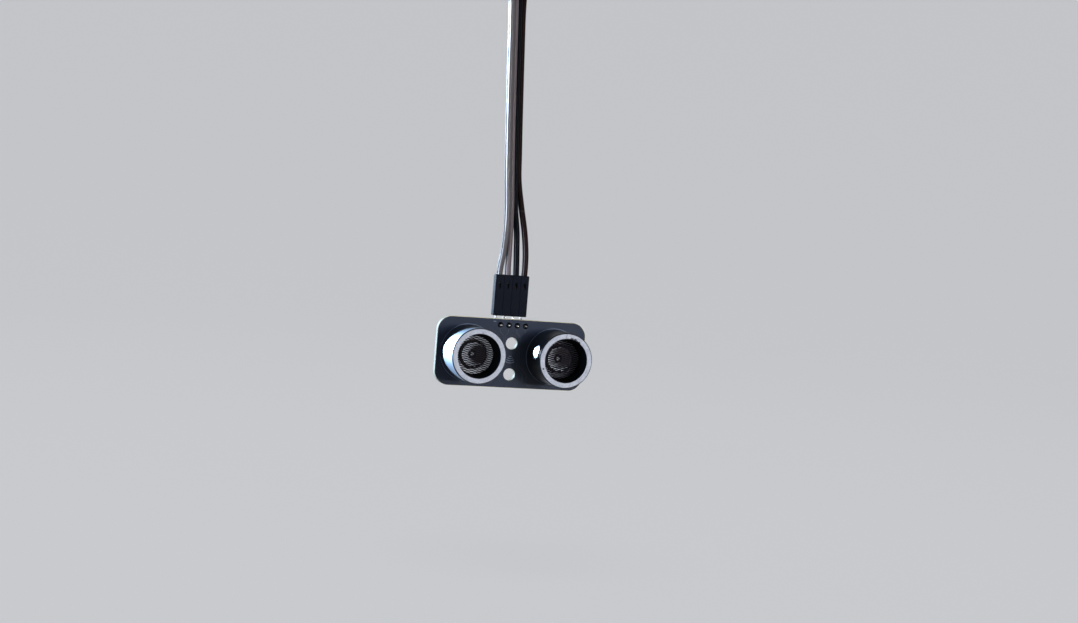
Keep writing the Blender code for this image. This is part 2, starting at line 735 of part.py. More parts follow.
def make_housings():
    """Both ends of the lead have the same moulded housing, the far one upside down."""
    past = 1.0 * MM
    size = (WAYS * PITCH, HOUSING_DEPTH, HOUSING_LENGTH)
    housing = add("plug_housing", box_mesh("plug_housing", size), BLACK_PLASTIC, PLUG)
    bevel(housing, HOUSING_BEVEL)
    cavity_length = HOUSING_LENGTH - MOUTH_DEPTH + past
    cavity = box_mesh("cavity", (CAVITY_SIZE, CAVITY_SIZE, cavity_length), MOUTH_DEPTH)
    mouth = box_mesh("mouth", (MOUTH_SIZE, MOUTH_SIZE, MOUTH_DEPTH + 2 * past), -past)
    window = box_mesh(
        "window",
        (WINDOW_WIDTH, HOUSING_DEPTH / 2 + past, WINDOW_LENGTH),
        HOUSING_LENGTH - WINDOW_FROM_TOP - WINDOW_LENGTH / 2,
    )
    window.transform(Matrix.Translation((0, -(HOUSING_DEPTH / 2 + past) / 2, 0)))
    groove = box_mesh("groove", (GROOVE_WIDTH, 2 * GROOVE_DEPTH, HOUSING_LENGTH + 2 * past), -past)
    groove.transform(Matrix.Translation((0, -HOUSING_DEPTH / 2, 0)))
    for name, mesh, count in (
        ("cavities", cavity, WAYS),
        ("mouths", mouth, WAYS),
        ("windows", window, WAYS),
        ("grooves", groove, WAYS - 1),
    ):
        cut(housing, cutter_row(name, mesh, count))
    add("far_housing", evaluated_mesh(housing), BLACK_PLASTIC, FAR_PLUG)


def contact_mesh():
    """A crimp contact: a square socket that opens downwards, with the crimp on the wire above it."""
    work = bmesh.new()
    work.from_mesh(box_mesh("contact", (CONTACT_SIZE, CONTACT_SIZE, CONTACT_LENGTH)))
    by_height = sorted(work.faces, key=lambda face: face.calc_center_median().z)
    ends = (
        (by_height[0], (CONTACT_SIZE - CONTACT_BORE) / 2, CONTACT_BORE_DEPTH),
        (by_height[-1], (CONTACT_SIZE - CRIMP_SIZE) / 2, CRIMP_LENGTH),
    )
    for end, inset, rise in ends:
        bmesh.ops.inset_region(work, faces=[end], thickness=inset)
        moved = bmesh.ops.extrude_face_region(work, geom=[end])
        points = [item for item in moved["geom"] if isinstance(item, bmesh.types.BMVert)]
        bmesh.ops.translate(work, vec=(0, 0, rise), verts=points)
        bmesh.ops.delete(work, geom=[end], context="FACES_ONLY")
    mesh = bpy.data.meshes.new("contact")
    work.to_mesh(mesh)
    work.free()
    return mesh


def make_contacts():
    mesh = contact_mesh()
    for way in range(WAYS):
        for name, frame, x in (
            (f"plug_contact_{way + 1}", PLUG, pin_x(way)),
            (f"far_contact_{way + 1}", FAR_PLUG, -pin_x(way)),
        ):
            add(name, mesh, TINNED_METAL, frame, (x, 0, MOUTH_DEPTH))


def smooth_route(route):
    """Points read at even steps from a smooth curve through the route's own points."""
    knots = [Vector(point) * MM for point in route]
    slopes = [
        (knots[min(i + 1, len(knots) - 1)] - knots[max(i - 1, 0)]) / 6 for i in range(len(knots))
    ]
    dense = []
    for i in range(len(knots) - 1):
        stretch = interpolate_bezier(
            knots[i], knots[i] + slopes[i], knots[i + 1] - slopes[i + 1], knots[i + 1], 24
        )
        dense += stretch[:-1]
    dense.append(knots[-1])
    runs = [0.0]
    for before, after in zip(dense, dense[1:]):
        runs.append(runs[-1] + (after - before).length)
    points = []
    for step in range(WIRE_POINTS):
        target = runs[-1] * step / (WIRE_POINTS - 1)
        nearest = min(range(len(runs)), key=lambda i: abs(runs[i] - target))
        points.append(dense[nearest])
    return points


def make_wires():
    for number, (route, finish) in enumerate(zip(WIRE_ROUTES, WIRE_COLOURS), 1):
        curve = bpy.data.curves.new(f"wire_{number}", "CURVE")
        curve.dimensions = "3D"
        curve.bevel_depth = WIRE_DIAMETER / 2
        curve.bevel_resolution = 2
        curve.use_fill_caps = True
        spline = curve.splines.new("POLY")
        points = smooth_route(route)
        spline.points.add(len(points) - 1)
        for point, place in zip(spline.points, points):
            point.co = (*place, 1)
        add(f"wire_{number}", curve, finish)


make_circuit_board()
make_header()
make_transducer("transmitter", -TRANSDUCER_SPACING / 2)
make_transducer("receiver", TRANSDUCER_SPACING / 2)
make_back_parts()
make_housings()
make_contacts()
make_wires()
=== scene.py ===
"""Looks of an ultrasonic distance sensor that hangs from its four-way jumper lead.

Metres, +Z up. The transducers look along -Y, and the origin is the middle of the board's back face.
"""

import json
import math

import bmesh
import bpy
from mathutils import Matrix, Vector
from mathutils.geometry import interpolate_bezier

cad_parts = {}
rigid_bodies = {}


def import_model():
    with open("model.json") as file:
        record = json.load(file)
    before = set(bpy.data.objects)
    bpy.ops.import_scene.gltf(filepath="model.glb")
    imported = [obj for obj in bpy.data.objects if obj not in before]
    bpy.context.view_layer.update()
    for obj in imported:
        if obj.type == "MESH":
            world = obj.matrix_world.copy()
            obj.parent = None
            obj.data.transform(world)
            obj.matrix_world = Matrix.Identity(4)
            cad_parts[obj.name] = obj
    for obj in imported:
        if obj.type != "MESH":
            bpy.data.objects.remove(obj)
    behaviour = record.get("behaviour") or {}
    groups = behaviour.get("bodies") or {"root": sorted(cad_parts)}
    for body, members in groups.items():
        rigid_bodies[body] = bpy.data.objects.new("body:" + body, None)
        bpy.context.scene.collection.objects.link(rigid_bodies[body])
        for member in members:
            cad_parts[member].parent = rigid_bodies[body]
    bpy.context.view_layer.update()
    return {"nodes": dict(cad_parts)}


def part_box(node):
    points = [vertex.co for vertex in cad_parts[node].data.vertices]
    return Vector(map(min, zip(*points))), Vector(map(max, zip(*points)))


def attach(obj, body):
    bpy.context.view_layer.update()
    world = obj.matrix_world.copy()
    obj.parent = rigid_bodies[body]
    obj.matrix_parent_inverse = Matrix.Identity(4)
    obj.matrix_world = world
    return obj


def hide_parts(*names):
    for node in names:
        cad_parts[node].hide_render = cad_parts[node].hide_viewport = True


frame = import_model()
mm = 0.001


# Circuit board: glass-epoxy laminate, routed to shape with rounded corners. A blue-black solder
# mask covers both faces, its low ridges are the copper tracks below it, and the routed edges and
# the two screw holes show the bare cream laminate.
class Field:
    """One socket of a material's nodes. Sums on fields read as Python, and each adds a Math node."""

    def __init__(self, tree, socket=None):
        self.tree = tree
        self.socket = socket

    def feed(self, target, value):
        if isinstance(value, Field):
            self.tree.links.new(value.socket, target)
        else:
            target.default_value = value

    def node(self, kind, settings=(), inputs=(), output=0):
        """Adds a node of any kind: its settings first, then its sockets' values or links."""
        made = self.tree.nodes.new("ShaderNode" + kind)
        for name, value in dict(settings).items():
            setattr(made, name, value)
        for name, value in dict(inputs).items():
            self.feed(made.inputs[name], value)
        return Field(self.tree, made.outputs[output])

    def sum(self, operation, first, second):
        return self.node("Math", {"operation": operation}, {0: first, 1: second})

    def __add__(self, other):
        return self.sum("ADD", self, other)

    def __mul__(self, other):
        return self.sum("MULTIPLY", self, other)

    __radd__ = __add__
    __rmul__ = __mul__

    def __sub__(self, other):
        return self.sum("SUBTRACT", self, other)

    def __rsub__(self, other):
        return self.sum("SUBTRACT", other, self)

    def __pow__(self, other):
        return self.sum("POWER", self, other)

    def __gt__(self, other):
        return self.sum("GREATER_THAN", self, other)

    def __abs__(self):
        return self.node("Math", {"operation": "ABSOLUTE"}, {0: self})

    def cover(self, below, above):
        """Lays one colour over another where the value is 1."""
        return self.node("Mix", {"data_type": "RGBA"}, {0: self, 6: below, 7: above}, 2)

    def tint(self, low, high):
        """Turns a value from 0 to 1 into a colour between two."""
        return self.cover((*low, 1), (*high, 1))

    def along(self, axis):
        """Where each point of the piece lies along X, Y or Z, in metres."""
        return self.node("SeparateXYZ", (), {0: self.node("TexCoord", output="Object")}, axis)

    def noise(self, scale, detail=2.0, stretch=(1, 1, 1)):
        """Noise over the piece's own coordinates, from 0 to 1. The scale is in patches a metre."""
        place = self.node("TexCoord", output="Object")
        spread = self.node("VectorMath", {"operation": "MULTIPLY"}, {0: place, 1: stretch})
        return self.node("TexNoise", (), {"Vector": spread, "Scale": scale, "Detail": detail})

    def bump(self, height):
        """A normal for a height in metres."""
        return self.node("Bump", (), {"Height": height, "Distance": 1.0}, "Normal")


def new_finish(name):
    made = bpy.data.materials.new(name)
    made.use_nodes = True
    return made, Field(made.node_tree)


def set_finish(made, values):
    shader = made.node_tree.nodes["Principled BSDF"]
    for name, value in values.items():
        Field(made.node_tree).feed(shader.inputs[name], value)


def mottled(name, noise, colours, roughness, bump=0.0, more=()):
    """A finish whose colour, roughness and fine bumps all follow one noise over the piece."""
    made, field = new_finish(name)
    patches = field.noise(*noise)
    set_finish(made, {
        "Base Color": patches.tint(*colours),
        "Roughness": roughness[0] + roughness[1] * patches,
        **dict(more),
    })
    if bump:
        set_finish(made, {"Normal": field.bump(patches * bump)})
    return made


def show(name, mesh, *finishes):
    """Puts a mesh in the scene as one piece, with its materials in the order of its faces' numbers."""
    made = bpy.data.objects.new(name, mesh)
    bpy.context.scene.collection.objects.link(made)
    for number, finish in enumerate(finishes):
        if number < len(mesh.materials):
            mesh.materials[number] = finish
        else:
            mesh.materials.append(finish)
    if made.type == "MESH":
        made.modifiers.new("flat_faces_stay_flat", "WEIGHTED_NORMAL").keep_sharp = True
    return made


def seat(piece, node=None, body="module"):
    """Gives a piece its moving body and, if it has one, hides the solid that it replaces."""
    if node:
        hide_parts(node)
    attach(piece, body)


def circle(radius, centre, steps=48):
    turns = [2 * math.pi * step / steps for step in range(steps)]
    return [(centre[0] + radius * math.cos(t), centre[1] + radius * math.sin(t)) for t in turns]


def rounded(width, height, radius, steps=16):
    """The outline of a rectangle with round corners."""
    points = []
    for corner, (across, up) in enumerate(((-1, -1), (1, -1), (1, 1), (-1, 1))):
        centre = (across * (width / 2 - radius), up * (height / 2 - radius))
        for step in range(steps + 1):
            turn = math.pi + math.pi / 2 * (corner + step / steps)
            x = centre[0] + radius * math.cos(turn)
            points.append((x, centre[1] + radius * math.sin(turn)))
    return points


def plate(name, outlines, front, back):
    """A flat plate between two depths in Y: the first outline is its edge, the others are holes."""
    curve = bpy.data.curves.new(name, "CURVE")
    curve.dimensions = "2D"
    curve.fill_mode = "BOTH"
    curve.extrude = (back - front) / 2
    for outline in outlines:
        spline = curve.splines.new("POLY")
        spline.points.add(len(outline) - 1)
        for point, (x, z) in zip(spline.points, outline):
            point.co = (x, z, 0, 1)
        spline.use_cyclic_u = True
    made = bpy.data.objects.new(name, curve)
    bpy.context.scene.collection.objects.link(made)
    evaluated = made.evaluated_get(bpy.context.evaluated_depsgraph_get())
    mesh = bpy.data.meshes.new_from_object(evaluated)
    bpy.data.objects.remove(made)
    mesh.transform(Matrix.Translation((0, (front + back) / 2, 0))
                   @ Matrix.Rotation(math.pi / 2, 4, "X"))
    work = bmesh.new()
    work.from_mesh(mesh)
    bmesh.ops.remove_doubles(work, verts=work.verts, dist=1e-7)
    work.to_mesh(mesh)
    work.free()
    return mesh


def smooth(mesh, angle=35):
    mesh.shade_smooth()
    mesh.set_sharp_from_angle(angle=math.radians(angle))
    return mesh


def loft(work, sections, finish=0, capped=True):
    """Joins sections of equally many points into one skin, with a cap on each end."""
    rows = [[work.verts.new(point) for point in section] for section in sections]
    made = []
    for low, high in zip(rows, rows[1:]):
        for i in range(len(low)):
            j = (i + 1) % len(low)
            made.append(work.faces.new((low[i], low[j], high[j], high[i])))
    if capped:
        made.append(work.faces.new(rows[0][::-1]))
        made.append(work.faces.new(rows[-1]))
    for face in made:
        face.material_index = finish


def finished(work, name, angle=35):
    bmesh.ops.recalc_face_normals(work, faces=work.faces)
    mesh = bpy.data.meshes.new(name)
    work.to_mesh(mesh)
    work.free()
    return smooth(mesh, angle)


def spot(node):
    """Where the middle of a node's box lies on the board, as X and Z."""
    low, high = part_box(node)
    return (low.x + high.x) / 2, (low.z + high.z) / 2


board_low, board_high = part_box("circuit_board")
board_front, board_back = board_low.y, board_high.y
board_corner = 4.2 * mm
screw_hole_radius = 1.75 * mm
screw_holes = ((0, 3.0 * mm), (0, -6.05 * mm))
transducers = {transducer: spot(f"{transducer}_case") for transducer in ("transmitter", "receiver")}
lead_offset = 5.0 * mm
lead_places = [(x, z + side * lead_offset) for x, z in transducers.values() for side in (1, -1)]
pin_places = [spot(f"header_solder_{number}") for number in range(1, 5)]

mask, field = new_finish("blue_black_solder_mask")
patches = field.noise(70, 3)
weave_run = field.noise(1, 1, (2600, 60, 240))
weave_rise = field.noise(1, 1, (240, 60, 2600))
set_finish(mask, {
    "Base Color": patches.tint((0.0120, 0.0170, 0.0300), (0.0185, 0.0252, 0.0430)),
    "Roughness": 0.30 + 0.14 * patches,
    "Specular IOR Level": 0.22,
    "Normal": field.bump((weave_run + weave_rise) * (0.004 * mm)),
})
laminate, field = new_finish("cream_glass_laminate")
layers = field.noise(1, 3, (90, 5200, 90))
dust = field.noise(1400, 2)
set_finish(laminate, {
    "Base Color": layers.tint((0.42, 0.36, 0.21), (0.86, 0.80, 0.62)),
    "Roughness": 0.55 + 0.2 * dust,
    "Normal": field.bump(layers * (0.02 * mm)),
})
copper_below = mottled("mask_over_copper", (90, 3), ((0.017, 0.024, 0.039), (0.023, 0.031, 0.050)),
                       (0.26, 0.12), more={"Specular IOR Level": 0.28})
silkscreen = mottled("faint_grey_print", (2400, 3), ((0.070, 0.092, 0.135), (0.140, 0.172, 0.230)),
                     (0.55, 0))
tin = mottled("bright_tin", (1500, 3), ((0.60, 0.60, 0.60), (0.78, 0.77, 0.75)), (0.20, 0.16),
              0.010 * mm, {"Metallic": 1.0})

pin_hole_radius = 0.51 * mm
lead_hole_radius = 0.5 * mm
outlines = [rounded(board_high.x - board_low.x, board_high.z - board_low.z, board_corner)]
outlines += [circle(screw_hole_radius, place) for place in screw_holes]
outlines += [circle(pin_hole_radius, place, 24) for place in pin_places]
outlines += [circle(lead_hole_radius, place, 24) for place in lead_places]
board_mesh = plate("board", outlines, board_front, board_back)
edge_break = 0.09 * mm
work = bmesh.new()
work.from_mesh(board_mesh)
outer_edges = [
    edge for edge in work.edges
    if edge.is_manifold and edge.calc_face_angle() > math.radians(60)
    and all(max(abs(end.co.x) / board_high.x, abs(end.co.z) / board_high.z) > 0.9
            for end in edge.verts)
]
bmesh.ops.bevel(work, geom=outer_edges, offset=edge_break, segments=1, affect="EDGES")
work.to_mesh(board_mesh)
work.free()
smooth(board_mesh)
for face in board_mesh.polygons:
    face.material_index = 0 if abs(face.normal.y) > 0.9 else 1
seat(show("board", board_mesh, mask, laminate), "circuit_board")

track_height = 0.035 * mm
track_width = 0.28 * mm
print_height = 0.012 * mm


def lay_track(work, face, corners, width=track_width, height=track_height):
    """A low ridge along straight runs on the board's front or back face."""
    outward = -1 if face == board_front else 1
    sections = []
    for i, corner in enumerate(corners):
        here = Vector(corner) * mm
        along = Vector(corners[min(i + 1, len(corners) - 1)]) - Vector(corners[max(i - 1, 0)])
        side = Vector((-along.y, along.x)).normalized() * width / 2
        sections.append([
            (here.x + side.x * share, face + outward * rise, here.y + side.y * share)
            for share, rise in ((1, 0), (0.8, height), (-0.8, height), (-1, 0))
        ])
    loft(work, sections)


def lay_ring(work, face, centre, outer, inner, height, steps=40, start=0.0, sweep=2 * math.pi):
    """A flat ring, or an arc of one, a little proud of the board's front or back face."""
    outward = -1 if face == board_front else 1
    whole = sweep >= 2 * math.pi
    sections = []
    for step in range(steps + (not whole)):
        turn = start + sweep * step / steps
        sections.append([
            (centre[0] + radius * math.cos(turn), face + outward * rise,
             centre[1] + radius * math.sin(turn))
            for radius, rise in ((inner, 0), (inner, height), (outer, height), (outer, 0))
        ])
    if whole:
        sections.append(sections[0])
    loft(work, sections, capped=not whole)
    bmesh.ops.remove_doubles(work, verts=work.verts, dist=1e-7)


front_tracks = (
    ((-3.81, 7.2), (-3.81, 6.3), (-2.6, 5.1), (-2.6, -3.6), (-4.9, -5.9), (-4.9, -7.4)),
    ((-1.27, 7.2), (-1.27, 6.1), (-2.1, 5.3), (-2.1, -4.3), (-3.1, -5.3), (-3.1, -8.0)),
    ((1.27, 7.2), (1.27, 6.1), (2.1, 5.3), (2.1, -3.9), (4.05, -5.9), (4.05, -8.9)),
    ((3.81, 7.2), (3.82, 6.3), (2.65, 5.0), (2.65, -3.4), (5.25, -6.0), (5.25, -6.8)),
    ((-21.2, 2.5), (-21.2, -4.5), (-18.2, -7.6), (-14.0, -9.1), (-6.0, -9.1), (-4.9, -8.0)),
    ((21.2, 2.5), (21.2, -4.5), (18.2, -7.6), (14.0, -9.1), (5.6, -9.1)),
)
back_tracks = (
    ((-3.81, 6.9), (-3.81, 5.6), (-7.6, 5.2), (-8.1, 3.6), (-9.2, 3.6)),
    ((-1.27, 6.9), (-1.27, 5.9), (-2.6, 4.6), (-2.6, 2.3), (-5.4, 1.4)),
    ((1.27, 6.9), (1.27, 5.9), (2.6, 4.6), (2.6, -2.4), (5.4, -3.8)),
    ((3.81, 6.9), (3.81, 5.6), (7.6, 5.2), (8.1, 3.6), (9.2, 3.6)),
    ((-5.4, -0.8), (-3.0, -0.8), (-2.3, -1.5), (2.6, -1.5), (4.4, 0.3), (4.4, 1.4), (5.4, 1.4)),
    ((-16.8, 3.9), (-16.8, 7.6), (-11.5, 9.1), (11.5, 9.1), (16.8, 7.6), (16.8, 3.9)),
    ((-18.9, -4.2), (-18.9, -6.0), (-16.0, -8.6), (-9.5, -8.6)),
    ((18.9, -4.2), (18.9, -6.0), (16.0, -8.6), (9.5, -8.6)),
    ((-8.3, -4.3), (-8.3, -2.6), (-9.6, -1.3)),
    ((9.2, -3.2), (8.2, -2.4), (8.2, -0.4), (9.0, 0.4)),
)
work = bmesh.new()
for route in front_tracks:
    lay_track(work, board_front, route)
for route in back_tracks:
    lay_track(work, board_back, route)
seat(show("tracks_under_mask", finished(work, "tracks"), copper_below))

via_places = ((5.25, -6.84), (4.05, -8.95), (3.82, 6.26), (-4.9, -7.5), (-3.1, -8.05), (-21.2, 2.6),
              (21.2, 2.6))
via_radius = 0.34 * mm
via_hole_radius = 0.15 * mm
via_centre_radius = 0.01 * mm
via_shade_height = 0.004 * mm
# Painted shade: the vias are not drilled, so a near-black disc in each stands for the dark of an open
# hole.
via_hole_shade = mottled("painted_via_hole_shade", (3000,), ((0.001,) * 3, (0.004,) * 3), (0.8, 0))
for name, outer, inner, height, steps, finish in (
    ("via_rings", via_radius, via_hole_radius, track_height, 20, copper_below),
    ("painted_via_shade", via_hole_radius, via_centre_radius, via_shade_height, 16, via_hole_shade),
):
    work = bmesh.new()
    for x, z in via_places:
        for face in (board_front, board_back):
            lay_ring(work, face, (x * mm, z * mm), outer, inner, height, steps)
    seat(show(name, finished(work, name), finish))

print_ring_radius = 8.32 * mm
print_line = 0.16 * mm
dash_line = 0.22 * mm
wave_line = 0.26 * mm
wave_centre = (-0.1 * mm, -0.20 * mm)
wave_radius = 0.75 * mm
wave_step = 0.62 * mm
wave_half_angles = (42, 39, 36, 33)
work = bmesh.new()
for centre in transducers.values():
    lay_ring(work, board_front, centre, print_ring_radius, print_ring_radius - print_line,
             print_height, 120)
for wave, half_angle in enumerate(wave_half_angles):
    radius = wave_radius + wave_step * wave
    lay_ring(work, board_front, wave_centre, radius, radius - wave_line, print_height, 20,
             math.radians(270 - half_angle), math.radians(2 * half_angle))
lay_track(work, board_front, ((-6.0, 9.15), (-5.15, 9.1)), dash_line, print_height)
back_marks = (
    ((-5.35, 6.7), (5.35, 6.7)), ((-5.35, 6.7), (-5.35, 9.75)), ((5.35, 6.7), (5.35, 9.75)),
    ((-10.4, -4.1), (-4.4, -4.1)), ((-10.4, -8.5), (-4.4, -8.5)),
)
for route in back_marks:
    lay_track(work, board_back, route, print_line, print_height)
seat(show("printed_lines", finished(work, "printed_lines"), silkscreen))


# Header: a four-way strip of square tinned pins in a moulded black block. It is soldered from
# behind, and its pins are bent up past the board's edge to reach the plug. The solder on the
# board's front is coloured near black, as a painted dark reflection of the room it mirrors.
def round_edges(work, width, angle, clamped=False):
    """Rounds every edge whose faces meet at more than an angle in degrees."""
    sharp = [edge for edge in work.edges
             if edge.is_manifold and edge.calc_face_angle() > math.radians(angle)]
    bmesh.ops.bevel(work, geom=sharp, offset=width, segments=2, profile=0.5, affect="EDGES",
                    clamp_overlap=clamped)


def rounded_copy(node, name, width):
    """A piece with the node's own form, whose edges are rounded by a given width."""
    mesh = frame["nodes"][node].data.copy()
    mesh.name = name
    work = bmesh.new()
    work.from_mesh(mesh)
    bmesh.ops.remove_doubles(work, verts=work.verts, dist=1e-6)
    bmesh.ops.dissolve_limit(work, angle_limit=math.radians(1), verts=work.verts, edges=work.edges)
    round_edges(work, width, 30, True)
    work.to_mesh(mesh)
    work.free()
    return smooth(mesh)


plastic, field = new_finish("satin_black_nylon")
grain = field.noise(3400, 3)
flow = field.noise(120, 2)
set_finish(plastic, {
    "Base Color": flow.tint((0.0032, 0.0042, 0.0080), (0.0050, 0.0064, 0.0115)),
    "Roughness": 0.36 + 0.12 * flow,
    "Specular IOR Level": 0.06,
    "Normal": field.bump(grain * (0.006 * mm)),
})
block_edge = 0.08 * mm
seat(show("header_strip", rounded_copy("header_block", "header_strip", block_edge), plastic),
     "header_block")
# Painted reflection: the front solder, its pads and the pin sides in front of the board are coloured
# near black for the dark room they mirror.
solder = mottled("solder_painted_dark_reflection", (1100, 2), ((0.006, 0.006, 0.008), (0.030, 0.030, 0.035)),
                 (0.10, 0.14), 0.02 * mm, {"Metallic": 1.0})
pin_edge = 0.05 * mm
tip_share = 0.62
tip_reach = 0.01 * mm
for number, place in enumerate(pin_places, 1):
    node = f"header_pin_{number}"
    mesh = rounded_copy(node, f"bent_pin_{number}", pin_edge)
    tip = min(point.co.y for point in mesh.vertices)
    for point in mesh.vertices:
        if point.co.y < tip + tip_reach:
            point.co.x = place[0] + (point.co.x - place[0]) * tip_share
            point.co.z = place[1] + (point.co.z - place[1]) * tip_share
    for face in mesh.polygons:
        face.material_index = int(tip + tip_reach < face.center.y < board_front)
    seat(show(f"bent_pin_{number}", mesh, tin, solder), node)


def spun(points, axis, steps):
    """A skin made by a full turn of a line of points about an axis through the origin."""
    work = bmesh.new()
    line = [work.verts.new(point) for point in points]
    edges = [work.edges.new(pair) for pair in zip(line, line[1:])]
    bmesh.ops.spin(work, geom=line + edges, axis=axis, cent=(0, 0, 0), angle=2 * math.pi,
                   steps=steps, use_merge=True)
    bmesh.ops.remove_doubles(work, verts=work.verts, dist=1e-6)
    return work


def turned(profile, centre, steps):
    """Turns a profile of (radius, depth in front of the board) about an axis along Y."""
    work = spun([(radius, board_front - depth, 0) for radius, depth in profile], (0, 1, 0), steps)
    bmesh.ops.translate(work, vec=(centre[0], 0, centre[1]), verts=work.verts)
    return work


def eased(profile, radius, steps=4):
    """The profile with each inner corner cut by a small curve of about the given radius."""
    points = [profile[0]]
    for before, corner, after in zip(profile, profile[1:], profile[2:]):
        corner = Vector(corner)
        inward, outward = Vector(before) - corner, Vector(after) - corner
        reach = min(radius, 0.45 * inward.length, 0.45 * outward.length)
        start = corner + inward.normalized() * reach
        end = corner + outward.normalized() * reach
        for step in range(steps + 1):
            share = step / steps
            points.append(tuple(start.lerp(corner, share).lerp(corner.lerp(end, share), share)))
    points.append(profile[-1])
    return points


pad_radius = 0.80 * mm
back_pad_radius = 1.3 * mm
for name, face, places, outer, inner, metal in (
    ("front_pads", board_front, pin_places, pad_radius, pin_hole_radius, solder),
    ("back_pads", board_back, lead_places, back_pad_radius, lead_hole_radius, tin),
):
    work = bmesh.new()
    for place in places:
        lay_ring(work, face, place, outer, inner, track_height)
    seat(show(name, finished(work, name), metal))
fillet_radius = 0.83 * mm
fillet_height = 0.40 * mm
fillet_core_radius = 0.3 * mm
pin_half_diagonal = 0.45 * mm


def fillet(inner, outer, foot, top, core, shares):
    """The section of a hollow fillet of solder between two depths, closed along its core."""
    curve = [(inner + (outer - inner) * (1 - share) ** 2, foot + (top - foot) * share)
             for share in shares]
    return [*curve, (core, top), (core, foot), curve[0]]


front_fillet = fillet(pin_half_diagonal, fillet_radius, 0, fillet_height, fillet_core_radius,
                      (0, 0.12, 0.25, 0.4, 0.55, 0.7, 0.85, 1))
for number, place in enumerate(pin_places, 1):
    mesh = finished(turned(front_fillet, place, 32), "front_fillet", 50)
    seat(show(f"front_fillet_{number}", mesh, solder), f"header_solder_{number}")


# Transducer cases: turned aluminium tubes, anodised a satin black under a thin clear coat, then
# faced in the lathe, so that the front rim is bare metal with fine marks, and chipped in places.
# Their narrowing bores are matt black.
anodised, field = new_finish("glossy_black_anodise")
patches = field.noise(160, 3)
marks = field.noise(1, 2, (60, 5200, 60))
set_finish(anodised, {
    "Base Color": patches.tint((0.0045, 0.0055, 0.0080), (0.0085, 0.0100, 0.0140)),
    "Roughness": 0.44 + 0.08 * patches,
    "Specular IOR Level": 0.2,
    "Coat Weight": 0.14,
    "Coat Roughness": 0.10,
    "Normal": field.bump(marks * (0.0012 * mm)),
})
bare_rim, field = new_finish("faced_bare_rim")
grain = field.noise(2200, 4)
dents = field.noise(620, 2)
nick = 1 - (field.noise(1100, 1) > 0.24)
across = field.along("X") - transducers["receiver"][0]
upward = field.along("Z") - transducers["receiver"][1]
rim_chips = ((1.15, 6.35, 0.36), (1.55, 6.25, 0.30), (2.30, 6.05, 0.46), (2.85, 5.75, 0.32),
             (3.50, 5.38, 0.42), (-6.70, -2.60, 0.27))
ragged_edge = (0.30 * mm) * (grain - 0.5)
chipped = 0
for x, z, radius in rim_chips:
    from_x, from_z = across - x * mm, upward - z * mm
    distance = (from_x * from_x + from_z * from_z) ** 0.5 + ragged_edge
    chipped = chipped + (1 - (distance > radius * mm))
scratch_across = -0.37 * mm
scratch_half_width = 0.08 * mm
scratch_foot = 6.3 * mm
scratched = 1 - (abs(across - scratch_across) > scratch_half_width)
chipped = chipped + 0.7 * scratched * (upward > scratch_foot)
set_finish(bare_rim, {
    "Base Color": chipped.cover(
        nick.cover(
            (0.6 * grain + 0.4 * dents).tint((0.18, 0.19, 0.225), (0.65, 0.67, 0.74)),
            dents.tint((0.08, 0.08, 0.10), (0.16, 0.16, 0.18)),
        ),
        grain.tint((0.004, 0.005, 0.008), (0.030, 0.030, 0.036)),
    ),
    "Metallic": 0.35,
    "Roughness": 0.40 + 0.18 * grain,
    "Normal": field.bump(grain * (0.010 * mm) + dents * (0.012 * mm)),
})
matt_bore = mottled("matt_black_bore", (2600, 2), ((0.0010, 0.0012, 0.0016), (0.0024, 0.0026, 0.0032)),
                    (0.75, 0), 0.008 * mm, {"Specular IOR Level": 0.06})
case_radius = 8.0 * mm
case_length = 11.7 * mm
case_wall = 1.0 * mm
rim_chamfer = 0.3 * mm
rim_inner_radius = 6.4 * mm
bore_back_radius = 5.5 * mm
mesh_seat = 6.7 * mm
foot_chamfer = 0.08 * mm
inner_seam = 3.0 * mm
case_ease = 0.05 * mm
rim_tolerance = 0.03 * mm
bore_tolerance = 0.01 * mm
chamber_radius = case_radius - case_wall
case_profile = eased(
    [
        (chamber_radius, inner_seam),
        (chamber_radius, 0),
        (case_radius - foot_chamfer, 0),
        (case_radius, foot_chamfer),
        (case_radius, case_length - rim_chamfer),
        (case_radius - rim_chamfer, case_length),
        (rim_inner_radius, case_length),
        (bore_back_radius, mesh_seat),
        (chamber_radius, mesh_seat),
        (chamber_radius, inner_seam),
    ],
    case_ease,
)
for transducer, centre in transducers.items():
    work = turned(case_profile, centre, 128)
    for face in work.faces:
        middle = face.calc_center_median()
        depth = board_front - middle.y
        radius = math.hypot(middle.x - centre[0], middle.z - centre[1])
        if depth > case_length - rim_tolerance and radius < case_radius - rim_chamfer + rim_tolerance:
            face.material_index = 1
        elif radius < chamber_radius + bore_tolerance:
            face.material_index = 2
    seat(show(f"{transducer}_tube", finished(work, "tube"), anodised, bare_rim, matt_bore),
         f"{transducer}_case")


# Screens: a thin sheet, slit and stretched, so that its strands zigzag and leave narrow openings
# laid like bricks. It is painted black and clamped behind each bore, and the lit sounding parts
# show through it as short bright dashes.
screen_radius = 6.7 * mm
strand_width = 0.19 * mm
strand_depth = 0.20 * mm
row_pitch = 0.315 * mm
bond_pitch = 2.26 * mm
screen_depth = mesh_seat - strand_depth
screen_tilts = {"transmitter": math.radians(4.5), "receiver": math.radians(-2.5)}
black_paint = mottled("black_painted_screen", (1800, 2), ((0.004, 0.004, 0.006), (0.013, 0.012, 0.016)),
                      (0.50, 0.15), more={"Specular IOR Level": 0.2})

